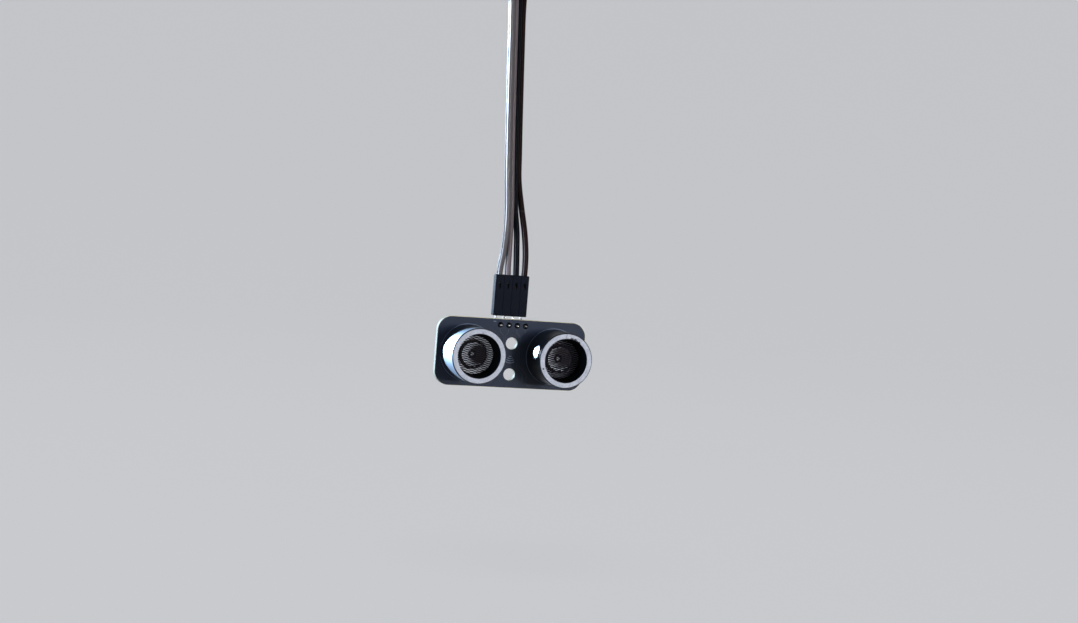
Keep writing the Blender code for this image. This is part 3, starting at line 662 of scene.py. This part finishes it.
work = bmesh.new()
rows = int(screen_radius / row_pitch)
step = bond_pitch / 16
swing = (row_pitch - 0.9 * strand_width) / 2
for row in range(-rows, rows + 1):
    height = row * row_pitch
    reach = int(math.sqrt(screen_radius ** 2 - height ** 2) / step)
    side = 1 if row % 2 else -1
    sections = []
    for i in range(-reach, reach + 1):
        wave = math.cos(2 * math.pi * i * step / bond_pitch)
        z = height + side * swing * (1.35 * wave - 0.35 * wave ** 3)
        sections.append([
            (i * step, depth * strand_depth / 2, z + lift * strand_width / 2)
            for depth, lift in ((-1, 0), (-0.6, 0.8), (0.6, 1), (1, 0.2), (0.6, -0.8), (-0.6, -1))
        ])
    if len(sections) > 2:
        loft(work, sections)
stretched_sheet = finished(work, "screen", 50)
for transducer, (x, z) in transducers.items():
    screen = show(f"{transducer}_screen", stretched_sheet, black_paint)
    screen.location = (x, board_front - screen_depth, z)
    screen.rotation_euler = (0, screen_tilts[transducer], 0)
    seat(screen, f"{transducer}_mesh")


# Sounding parts behind the screen: a spun aluminium cone on a polished hub, a tarnished brass
# plate, the piezo disc glued to it and the silicone ring that carries them. A bed of the same
# silicone seals the base to the case. It is white, and in the receiver it is painted grey as shade.
def spun_finish(transducer, shade_across, shade_up, shade_radius, soft, dark, brown):
    """Spun aluminium, bright but for painted shade, dark and brownish, that lies to one side of the
    hub.
    """
    made, field = new_finish(f"spun_aluminium_painted_shade_{transducer}")
    x, z = transducers[transducer]
    grain = field.noise(900, 2)
    shade_patches = field.noise(420, 2)
    from_x = field.along("X") - (x + shade_across)
    from_z = field.along("Z") - (z + shade_up)
    distance = (from_x * from_x + from_z * from_z) ** 0.5 + (0.5 * mm) * shade_patches
    limits = {0: distance, 1: shade_radius - soft, 2: shade_radius + soft}
    bright = field.node("MapRange", {"interpolation_type": "SMOOTHSTEP"}, limits)
    set_finish(made, {
        "Base Color": bright.cover(
            shade_patches.tint(dark, brown),
            grain.tint((0.72, 0.77, 0.88), (0.90, 0.94, 1.0)),
        ),
        "Roughness": 0.30 + 0.16 * grain,
    })
    return made


def paint(node, finish):
    """Gives a solid, which stays in place, its material."""
    materials = frame["nodes"][node].data.materials
    materials.clear()
    materials.append(finish)


# Painted shade: each cone is coloured dark and brownish on the side of its hub whose slope lies in
# shade.
spun_finishes = {
    "transmitter": spun_finish("transmitter", 1.95 * mm, 0, 3.3 * mm, 0.9 * mm,
                               (0.003, 0.003, 0.004), (0.034, 0.019, 0.016)),
    "receiver": spun_finish("receiver", 1.6 * mm, 0.9 * mm, 3.9 * mm, 1.9 * mm,
                            (0.05, 0.05, 0.06), (0.15, 0.12, 0.12)),
}
# The hub's tip is polished metal, and its near-white colour is also a painted highlight.
hub_polish = mottled("polished_hub_painted_highlight", (1500,), ((0.90, 0.92, 0.95), (0.98, 0.99, 1.0)), (0.25, 0),
                     more={"Metallic": 0.5})
# Painted shade: the cone's outer band is coloured black for the shade in the gap at its rim, and a ring
# round the hub is coloured black too.
rim_shade = mottled("black_painted_rim_shade", (1500,), ((0.002, 0.002, 0.003), (0.005, 0.005, 0.006)),
                      (0.6, 0), more={"Specular IOR Level": 0.1})
brass = mottled("tarnished_brass", (400, 3), ((0.012, 0.009, 0.007), (0.045, 0.030, 0.018)),
                (0.28, 0.2), more={"Metallic": 1.0})
ceramic = mottled("silvered_piezo", (900, 3), ((0.44, 0.42, 0.37), (0.66, 0.64, 0.58)), (0.5, 0.2))
# Painted shade: the receiver's silicone is the same white silicone, coloured grey as shade.
silicones = {
    "transmitter": mottled("white_silicone", (700, 3), ((0.74, 0.76, 0.80), (0.92, 0.94, 0.97)),
                           (0.45, 0.1)),
    "receiver": mottled("silicone_painted_grey_shade", (700, 3), ((0.34, 0.36, 0.40), (0.50, 0.52, 0.57)),
                        (0.45, 0.1)),
}
cone_seat = 3.3 * mm
hub_radius = 0.9 * mm
hub_height = 1.1 * mm
cone_radius = 3.8 * mm
cone_rise = 1.6 * mm
cone_wall = 0.25 * mm
hub_top = cone_seat + hub_height
hub_dome = 0.22 * mm
dome_radius = 0.8 * hub_radius
cone_foot = hub_top - 0.1 * mm
cone_ease = 0.06 * mm
polished_radius = 0.56 * hub_radius
dark_ring_radius = 1.25 * mm
shaded_rim_width = 1.7 * cone_wall
cone_profile = eased(
    [
        *((dome_radius * share, hub_top + hub_dome * (1 - share ** 2))
          for share in (0, 0.25, 0.5, 0.75, 1)),
        (hub_radius, cone_foot),
        (dark_ring_radius, cone_foot + (hub_top + cone_rise - cone_foot)
         * (dark_ring_radius - hub_radius) / (cone_radius - cone_wall - hub_radius)),
        (cone_radius - cone_wall, hub_top + cone_rise),
        (cone_radius, hub_top + cone_rise),
        (hub_radius, hub_top - cone_wall),
        (hub_radius, cone_seat),
        (0, cone_seat),
    ],
    cone_ease,
)
bed_inner_radius = 4.35 * mm
bed_outer_radius = 6.96 * mm
bed_floor = 2.03 * mm
bed_height = 3.2 * mm
bed_profile = [(bed_inner_radius, bed_floor)]
bed_profile += [(bed_inner_radius + (bed_outer_radius - bed_inner_radius) * share,
                 bed_floor + bed_height * (0.90 + 0.4 * (share - 0.5) ** 2))
                for share in (0, 0.06, 0.15, 0.3, 0.5, 0.7, 0.85, 0.94, 1)]
bed_profile += [(bed_outer_radius, bed_floor), (bed_inner_radius, bed_floor)]
for transducer, centre in transducers.items():
    work = turned(cone_profile, centre, 96)
    for face in work.faces:
        middle = face.calc_center_median()
        radius = math.hypot(middle.x - centre[0], middle.z - centre[1])
        if radius < polished_radius:
            face.material_index = 1
        elif radius < dark_ring_radius or radius > cone_radius - shaded_rim_width:
            face.material_index = 2
    cone = show(f"{transducer}_spun_cone", finished(work, "spun_cone"), spun_finishes[transducer],
                hub_polish, rim_shade)
    seat(cone, f"{transducer}_cone")
    mesh = finished(turned(bed_profile, centre, 96), "silicone_bed", 60)
    seat(show(f"{transducer}_silicone_bed", mesh, silicones[transducer]))
    for part, finish in (("plate", brass), ("piezo", ceramic), ("seal", silicones[transducer])):
        paint(f"{transducer}_{part}", finish)


# Transducer bases: black moulded discs in the cases' open backs. Two tinned leads pass through
# each into the board, and end in bright solder joints at its back.
joint_solder = mottled("bright_joint_solder", (1100, 2), ((0.34, 0.34, 0.35), (0.58, 0.58, 0.59)),
                       (0.24, 0.16), 0.02 * mm, {"Metallic": 1.0})
board_thickness = board_back - board_front
back_fillet_radius = 1.1 * mm
back_fillet_height = 1.0 * mm
lead_radius = 0.4 * mm
lead_top = 2.6 * mm
lead_end = 3.1 * mm
lead_ease = 0.08 * mm
lead_profile = eased([(0, lead_top), (lead_radius, lead_top), (lead_radius, -lead_end),
                      (0, -lead_end)], lead_ease)
joint_core_radius = lead_radius - 0.1 * mm
back_fillet = fillet(lead_radius, back_fillet_radius, -board_thickness,
                     -board_thickness - back_fillet_height, joint_core_radius,
                     (0, 0.1, 0.2, 0.35, 0.5, 0.65, 0.8, 1))
for transducer, (x, z) in transducers.items():
    paint(f"{transducer}_base", plastic)
    for number, side in enumerate((1, -1), 1):
        place = (x, z + side * lead_offset)
        mesh = finished(turned(lead_profile, place, 24), "leg")
        seat(show(f"{transducer}_leg_{number}", mesh, tin), f"{transducer}_lead_{number}")
        mesh = finished(turned(back_fillet, place, 32), "fillet", 50)
        seat(show(f"{transducer}_fillet_{number}", mesh, joint_solder),
             f"{transducer}_solder_{number}")


# Chips: the controller, the echo amplifier and the driver on the board's back. Each is a matt
# black moulding with tapered sides and a dimple at its first lead, on bent tinned leads.
moulding = mottled("matt_moulding_compound", (2800, 3), ((0.007, 0.007, 0.008), (0.015, 0.015, 0.016)),
                   (0.58, 0.15), 0.012 * mm, {"Specular IOR Level": 0.25})
chip_height = 1.5 * mm
chip_standoff = 0.1 * mm
chip_width = 3.9 * mm
chip_span = 6.0 * mm
chip_lead_pitch = 1.27 * mm
chip_lead_width = 0.42 * mm
chip_lead_thickness = 0.22 * mm
chip_lead_to_end = 0.5 * mm
chip_taper = 0.13 * mm
chip_edge = 0.07 * mm
dimple_radius = 0.38 * mm
dimple_inset = 0.95 * mm


def box_skin(work, size, foot, taper=0.0, finish=0):
    """A box of three levels that stands on its foot point, widest at its middle by the taper."""
    sections = []
    for height, inset in ((0, taper), (size[2] / 2, 0), (size[2], taper)):
        x, y = size[0] / 2 - inset, size[1] / 2 - inset
        sections.append([
            (foot[0] + i * x, foot[1] + j * y, foot[2] + height)
            for i, j in ((-1, -1), (1, -1), (1, 1), (-1, 1))
        ])
    loft(work, sections, finish)


def chip_mesh(name, length):
    """A chip lying on the XY plane, with its long side along X."""
    work = bmesh.new()
    box_skin(work, (length, chip_width, chip_height), (0, 0, chip_standoff), chip_taper)
    bmesh.ops.recalc_face_normals(work, faces=work.faces)
    round_edges(work, chip_edge, 40)
    count = int((length - 2 * chip_lead_to_end) / chip_lead_pitch) + 1
    middle = chip_standoff + chip_height / 2
    half = chip_lead_thickness / 2
    knee = chip_width / 2 + 0.28 * mm
    path = [(chip_width / 2 - 0.2 * mm, middle), (knee - 0.1 * mm, middle),
            (knee, middle - 0.05 * mm), (knee + 0.04 * mm, middle - 0.15 * mm),
            (knee + 0.12 * mm, half + 0.17 * mm), (knee + 0.18 * mm, half + 0.05 * mm),
            (knee + 0.3 * mm, half), (chip_span / 2, half)]
    for lead in range(count):
        x = (lead - (count - 1) / 2) * chip_lead_pitch
        for side in (-1, 1):
            sections = []
            for i, (y, z) in enumerate(path):
                after, before = path[min(i + 1, len(path) - 1)], path[max(i - 1, 0)]
                along = Vector((after[0] - before[0], after[1] - before[1])).normalized()
                sections.append([
                    (x + across * chip_lead_width / 2, side * (y - along.y * lift * half),
                     z + along.x * lift * half)
                    for across, lift in ((-1, -1), (1, -1), (1, 1), (-1, 1))
                ])
            loft(work, sections, 1)
    top = chip_standoff + chip_height
    corner = (-length / 2 + dimple_inset, -chip_width / 2 + dimple_inset)
    loft(work, [[(x, y, top + rise * mm) for x, y in circle(share * dimple_radius, corner, 24)]
                for share, rise in ((1, -0.046), (1, 0.004), (0.8, 0.001))])
    return finished(work, name, 30)


def on_back(node, turn=0.0):
    """From a piece that lies on the XY plane to its node's place on the board's back face."""
    x, z = spot(node)
    return (Matrix.Translation((x, board_back, z))
            @ Matrix.Rotation(-math.pi / 2, 4, "X") @ Matrix.Rotation(turn, 4, "Z"))


for node, turn in (("control_chip", 0), ("amplifier_chip", 0), ("driver_chip", math.pi / 2)):
    low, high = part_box(node)
    length = high.z - low.z if turn else high.x - low.x
    mesh = chip_mesh(f"{node}_body", length)
    mesh.transform(on_back(node, turn))
    seat(show(f"{node}_body", mesh, moulding, tin), node)


# Crystal: a quartz blank sealed in a dark ceramic tray by a plated metal lid. It keeps time for
# the controller.
tray = mottled("dark_ceramic_tray", (2000, 2), ((0.10, 0.09, 0.08), (0.16, 0.15, 0.13)), (0.6, 0))
lid_metal = mottled("plated_lid", (1, 3, (300, 2600, 2600)), ((0.56, 0.55, 0.53), (0.72, 0.71, 0.69)),
                    (0.24, 0.14), more={"Metallic": 1.0})
tray_height = 0.7 * mm
tray_corner, tray_ease = 0.3 * mm, 0.08 * mm
lid_inset = 0.35 * mm
lid_corner, lid_ease = 0.45 * mm, 0.1 * mm


def rounded_block(work, width, depth, low, high, corner, ease, finish):
    """A block with round upright corners and an eased upper edge."""
    sections = []
    for height, inset in ((low, 0), (high - ease, 0), (high - 0.3 * ease, 0.3 * ease), (high, ease)):
        outline = rounded(width - 2 * inset, depth - 2 * inset, corner, 6)
        sections.append([(x, y, height) for x, y in outline])
    loft(work, sections, finish)


low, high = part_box("crystal")
crystal_width, crystal_depth, crystal_height = high.x - low.x, high.z - low.z, high.y - low.y
work = bmesh.new()
rounded_block(work, crystal_width, crystal_depth, 0, tray_height, tray_corner, tray_ease, 0)
rounded_block(work, crystal_width - 2 * lid_inset, crystal_depth - 2 * lid_inset, tray_height,
              crystal_height, lid_corner, lid_ease, 1)
mesh = finished(work, "crystal_can", 30)
mesh.transform(on_back("crystal"))
seat(show("crystal_can", mesh, tray, lid_metal), "crystal")


# Chip capacitors and resistors: fired ceramic bricks with tinned ends, each in two small fillets
# of solder on the board's back.
tan_ceramic = mottled("tan_ceramic", (1900, 3), ((0.30, 0.20, 0.11), (0.44, 0.31, 0.18)), (0.42, 0.14))
black_glaze = mottled("black_glaze", (1900, 3), ((0.012, 0.012, 0.013), (0.022, 0.022, 0.024)),
                      (0.30, 0.12))
white_alumina = mottled("white_alumina", (1900, 3), ((0.60, 0.60, 0.58), (0.74, 0.74, 0.72)), (0.55, 0))
brick_shrink = 0.025 * mm
brick_edge = 0.04 * mm
joint_reach = 0.28 * mm
joint_overlap = 0.03 * mm
joint_foot_height = 0.012 * mm


def brick(name, length, width, height, cap, glazed):
    """A small part that lies along X: body, two end caps and their solder."""
    work = bmesh.new()
    base = brick_shrink
    for share, finish in ((0.8, 3), (0.2, 0)) if glazed else ((1.0, 0),):
        tall = (height - 2 * brick_shrink) * share
        size = (length - 2 * brick_shrink, width - 2 * brick_shrink, tall)
        box_skin(work, size, (0, 0, base), finish=finish)
        base += tall
    for side in (-1, 1):
        box_skin(work, (cap, width, height), (side * (length - cap) / 2, 0, 0), finish=1)
    bmesh.ops.recalc_face_normals(work, faces=work.faces)
    round_edges(work, brick_edge, 40)
    for side in (-1, 1):
        sections = []
        for share in (0, 0.25, 0.5, 0.75, 1):
            out = side * (length / 2 + joint_reach * share - joint_overlap)
            tall = max(joint_foot_height, 0.6 * height * (1 - share) ** 2)
            half = width / 2 * (1 + 0.06 * share)
            sections.append([(out, -half, 0), (out, half, 0), (out, 0.8 * half, tall),
                             (out, -0.8 * half, tall)])
        loft(work, sections, 2)
    return finished(work, name, 40)


for kind, count, cap, turn, slot, finishes in (
    ("capacitor", 4, 0.45 * mm, math.pi / 2, "capacitor_ceramic", (tan_ceramic, tin, joint_solder)),
    ("resistor", 5, 0.3 * mm, 0, "resistor_body", (black_glaze, tin, joint_solder, white_alumina)),
):
    for number in range(1, count + 1):
        node = f"{kind}_{number}"
        low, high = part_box(node)
        sides = (high.z - low.z, high.x - low.x) if turn else (high.x - low.x, high.z - low.z)
        mesh = brick(node, *sides, high.y - low.y, cap, kind == "resistor")
        mesh.transform(on_back(node, turn))
        seat(show(f"{node}_brick", mesh, *finishes), node)


# Crimp housings: the plug on the header and its twin on the lead's far end. Each is one satin
# black moulding with a groove between ways, a slot in front of each contact's latch, and a
# stamped, tinned contact in every way. The contacts are coloured near black as painted shade
# inside the housings.
housing_edge = 0.07 * mm
for node, name in (("plug_housing", "plug_shell"), ("far_housing", "far_shell")):
    seat(show(name, rounded_copy(node, name, housing_edge), plastic), node, "plug")
# Painted shade: the tinned contacts are coloured near black for the shade inside the housing.
crimp_shade = mottled("crimped_tin_painted_shade", (1700, 3), ((0.010, 0.009, 0.009), (0.036, 0.034, 0.032)),
                  (0.42, 0.2), more={"Metallic": 1.0})
contact_edge = 0.08 * mm
for end in ("plug", "far"):
    for number in range(1, 5):
        node = f"{end}_contact_{number}"
        name = f"{end}_crimp_{number}"
        seat(show(name, rounded_copy(node, name, contact_edge), crimp_shade), node, "plug")


# The lead: four stranded wires in soft insulation, brown-grey, taupe, black and dark red-brown.
# They leave the plug side by side, close up into a flat ribbon that turns a little, and end in
# the far housing. The routes are in millimetres, up from inside the plug.
wire_diameter = 1.8 * mm
plug_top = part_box("plug_housing")[1].z
wire_heights = (
    19.9, 21.3, 22.9, 25.4, 29.8, 35.7, 42.9, 50.2, 58.0, 65.5, 73.3, 81.0, 88.5,
    96.3, 101.5, 105.6, 109.3, 110.8, 112.2,
)
wire_routes = (
    (
        (-3.81, 3.4), (-3.81, 3.4), (-3.8, 3.38), (-3.66, 3.12), (-3.3, 2.5), (-3.22, 1.88),
        (-3.5, 1.72), (-4.12, 1.73), (-4.66, 1.73), (-5.14, 1.73), (-5.58, 1.73), (-6.01, 1.73),
        (-6.41, 1.73), (-6.82, 1.73), (-7.22, 1.7), (-7.9, 1.45), (-8.4, 1.22), (-8.42, 1.21),
        (-8.42, 1.21),
    ),
    (
        (-1.27, 3.4), (-1.27, 3.4), (-1.28, 3.4), (-1.4, 3.32), (-1.52, 3.12), (-1.72, 3.0),
        (-2.06, 2.9), (-2.65, 2.84), (-3.19, 2.84), (-3.67, 2.84), (-4.11, 2.84), (-4.54, 2.84),
        (-4.94, 2.84), (-5.35, 2.84), (-5.66, 2.83), (-6.06, 2.75), (-6.33, 2.67), (-6.34, 2.67),
        (-6.34, 2.67),
    ),
    (
        (1.27, 3.4), (1.27, 3.4), (1.26, 3.4), (1.14, 3.42), (0.87, 3.5), (0.44, 3.65),
        (-0.58, 3.98), (-1.17, 3.96), (-1.71, 3.96), (-2.19, 3.96), (-2.63, 3.96), (-3.06, 3.96),
        (-3.46, 3.96), (-3.87, 3.96), (-4.1, 3.97), (-4.22, 4.05), (-4.26, 4.13), (-4.26, 4.13),
        (-4.26, 4.13),
    ),
    (
        (3.81, 3.4), (3.81, 3.4), (3.82, 3.41), (3.86, 3.46), (3.7, 3.7), (2.99, 4.2),
        (1.6, 4.82), (0.3, 5.07), (-0.24, 5.07), (-0.72, 5.07), (-1.16, 5.07), (-1.59, 5.07),
        (-1.99, 5.07), (-2.4, 5.07), (-2.54, 5.1), (-2.38, 5.35), (-2.19, 5.58), (-2.18, 5.59),
        (-2.18, 5.59),
    ),
)
insulations = (
    ("brown_insulation", (0.026, 0.0235, 0.024), (0.050, 0.045, 0.046), 0.90, None),
    ("grey_insulation", (0.060, 0.048, 0.052), (0.088, 0.071, 0.076), 0.40, None),
    ("black_insulation", (0.0008, 0.0012, 0.0024), (0.0018, 0.0024, 0.0040), 0.06, None),
    ("red_brown_insulation", (0.0045, 0.0022, 0.0022), (0.0105, 0.0046, 0.0046), 0.06, 41.4 * mm),
)
crimp_mouth = plug_top - 0.4 * mm
nick_half_height = 0.16 * mm
curve_points = 9


def route_curve(route):
    """Points on a smooth curve through a route's own points, in metres."""
    knots = [Vector((x, y, z)) * mm for (x, y), z in zip(route, wire_heights)]
    last = len(knots) - 1
    slopes = [(knots[min(i + 1, last)] - knots[max(i - 1, 0)]) / 6 for i in range(last + 1)]
    points = []
    for i in range(last):
        points += interpolate_bezier(
            knots[i], knots[i] + slopes[i], knots[i + 1] - slopes[i + 1], knots[i + 1], curve_points
        )[:-1]
    return [*points, knots[last]]


for number, (route, insulated) in enumerate(zip(wire_routes, insulations), 1):
    slot, dark, light, gloss, nick_height = insulated
    insulation, field = new_finish(slot)
    drawn = field.noise(1, 2, (700, 700, 60))
    grain = field.noise(2600, 2)
    colour, roughness = drawn.tint(dark, light), 0.20 + 0.11 * drawn
    height = field.along("Z")
    # Painted shade: below the plug's mouth, inside the housing, the insulation is coloured near black.
    end_in_shade = 1 - (height > crimp_mouth)
    colour = end_in_shade.cover(colour, grain.tint((0.002,) * 3, (0.005,) * 3))
    roughness = roughness + 0.4 * end_in_shade
    if nick_height:
        nick = 1 - (abs(height - nick_height) > nick_half_height)
        colour = nick.cover(colour, grain.tint((0.012,) * 3, (0.036,) * 3))
        roughness = roughness + 0.4 * nick
    set_finish(insulation, {
        "Base Color": colour,
        "Roughness": roughness,
        "Specular IOR Level": gloss,
        "Normal": field.bump(grain * (0.006 * mm) + drawn * (0.02 * mm)),
    })
    points = route_curve(route)
    line = bpy.data.curves.new(f"jumper_{number}", "CURVE")
    line.dimensions = "3D"
    line.bevel_depth = wire_diameter / 2
    line.bevel_resolution = 6
    line.use_fill_caps = True
    spline = line.splines.new("POLY")
    spline.points.add(len(points) - 1)
    for point, place in zip(spline.points, points):
        point.co = (*place, 1)
    wire = show(f"jumper_{number}", line, insulation)
    seat(wire, f"wire_{number}", "plug")


# Studio: a pale floor that sweeps up into a backdrop, whose paper glows a little so that it stays
# pale. A compact lamp behind and to the left draws the bright edges. It and the soft lamps at the
# back, side and front light the sensor only, and the one above lights the paper too.
paper = mottled("pale_paper", (6, 2), ((0.80, 0.815, 0.84), (0.83, 0.845, 0.87)), (0.9, 0),
                more={"Specular IOR Level": 0.1})
field = Field(paper.node_tree)
paper_glow = 0.55
paper_level = 0.95
shaded = Field(field.tree, paper.node_tree.nodes["Principled BSDF"].outputs["BSDF"])
pale = field.node("Emission", (), {"Color": (0.95, 0.965, 1.0, 1), "Strength": paper_level})
seen = (field.node("LightPath", output="Is Camera Ray")
        + field.node("LightPath", output="Is Glossy Ray")
        + field.node("LightPath", output="Is Transmission Ray"))
both = field.node("MixShader", (), {0: paper_glow * seen, 1: shaded, 2: pale})
both.feed(paper.node_tree.nodes["Material Output"].inputs["Surface"], both)
floor_height = -0.060
floor_radius = 0.9
sweep_radius = 0.9
wall_top = 1.2
profile = [(0, floor_height), (floor_radius, floor_height)]
profile += [(floor_radius + sweep_radius * math.sin(math.radians(turn)),
             floor_height + sweep_radius * (1 - math.cos(math.radians(turn))))
            for turn in range(6, 91, 6)]
profile.append((floor_radius + sweep_radius, wall_top))
work = spun([(radius, 0, height) for radius, height in profile], (0, 0, 1), 96)
sweep = show("floor_and_backdrop", finished(work, "floor_and_backdrop", 60), paper)


def receivers(name, part=""):
    """Collects the sensor's pieces whose names hold a part, for lamps to light."""
    made = bpy.data.collections.new(name)
    for piece in bpy.context.scene.objects:
        if part in piece.name and piece is not sweep:
            made.objects.link(piece)
    return made


sensor_pieces = receivers("sensor_pieces")
case_pieces = receivers("case_pieces", "_tube")
lead_pieces = receivers("lead_pieces", "jumper_")
bed_pieces = receivers("bed_pieces", "transmitter_silicone_bed")
lamp_target = Vector((0, 0, 0.01))
for name, place, size, power, colour, lit, mirrored in (
    ("case_lamp", (-0.652, 0.988, 0.185), (0.11, 0.11), 600, (0.44, 0.68, 1.0), case_pieces, True),
    ("edge_lamp", (-0.652, 0.988, 0.185), (0.12, 0.12), 20, (0.44, 0.68, 1.0), sensor_pieces, True),
    ("back_softbox", (-0.38, 1.15, 0.22), (0.46, 0.56), 10, (0.72, 0.86, 1.0), sensor_pieces, True),
    ("side_softbox", (-1.12, -0.30, 0.16), (0.30, 0.50), 7, (0.42, 0.66, 1.0), sensor_pieces, True),
    ("lead_softbox", (-1.043, -0.508, 0.04), (0.44, 0.40), 39, (0.78, 0.86, 1.0), lead_pieces, True),
    ("bed_softbox", (-0.50, -1.10, 0.10), (0.30, 0.30), 7, (0.88, 0.92, 1.0), bed_pieces, True),
    ("glint_lamp", (0.50, -1.10, 0.04), (0.10, 0.10), 1.2, (1.0, 1.0, 1.0), sensor_pieces, True),
    ("front_softbox", (0.56, -1.10, 0.06), (0.46, 0.50), 25, (0.97, 0.97, 1.0), sensor_pieces, False),
    ("top_softbox", (-0.2, -0.1, 1.2), (1.2, 1.2), 3.0, (0.96, 0.98, 1.0), None, False),
):
    light = bpy.data.lights.new(name, "AREA")
    light.shape = "ELLIPSE"
    light.size, light.size_y = size
    light.energy = power
    light.color = colour
    lamp = bpy.data.objects.new(name, light)
    lamp.location = place
    lamp.rotation_euler = (lamp_target - Vector(place)).to_track_quat("-Z", "Y").to_euler()
    lamp.light_linking.receiver_collection = lit
    lamp.visible_glossy = mirrored
    bpy.context.scene.collection.objects.link(lamp)
world = bpy.data.worlds.new("studio")
world.use_nodes = True
sky = world.node_tree.nodes["Background"].inputs
sky["Color"].default_value = (0.80, 0.84, 0.92, 1)
sky["Strength"].default_value = 0.085
bpy.context.scene.world = world

# Camera: at the photograph's own place, a little to the left of the sensor and above it, with the
# photograph's slight roll.
camera_data = bpy.data.cameras.new("camera")
camera_data.sensor_width = 36.0
camera_data.lens = 67.58
camera_data.clip_start = 0.01
camera_data.clip_end = 10.0
camera = bpy.data.objects.new("camera", camera_data)
camera.location = (-180.684 * mm, -558.644 * mm, 45.896 * mm)
camera.rotation_euler = [math.radians(angle) for angle in (86.7636, -4.6565, -18.4097)]
bpy.context.scene.collection.objects.link(camera)
bpy.context.scene.camera = camera
bpy.context.scene.view_settings.view_transform = "Standard"
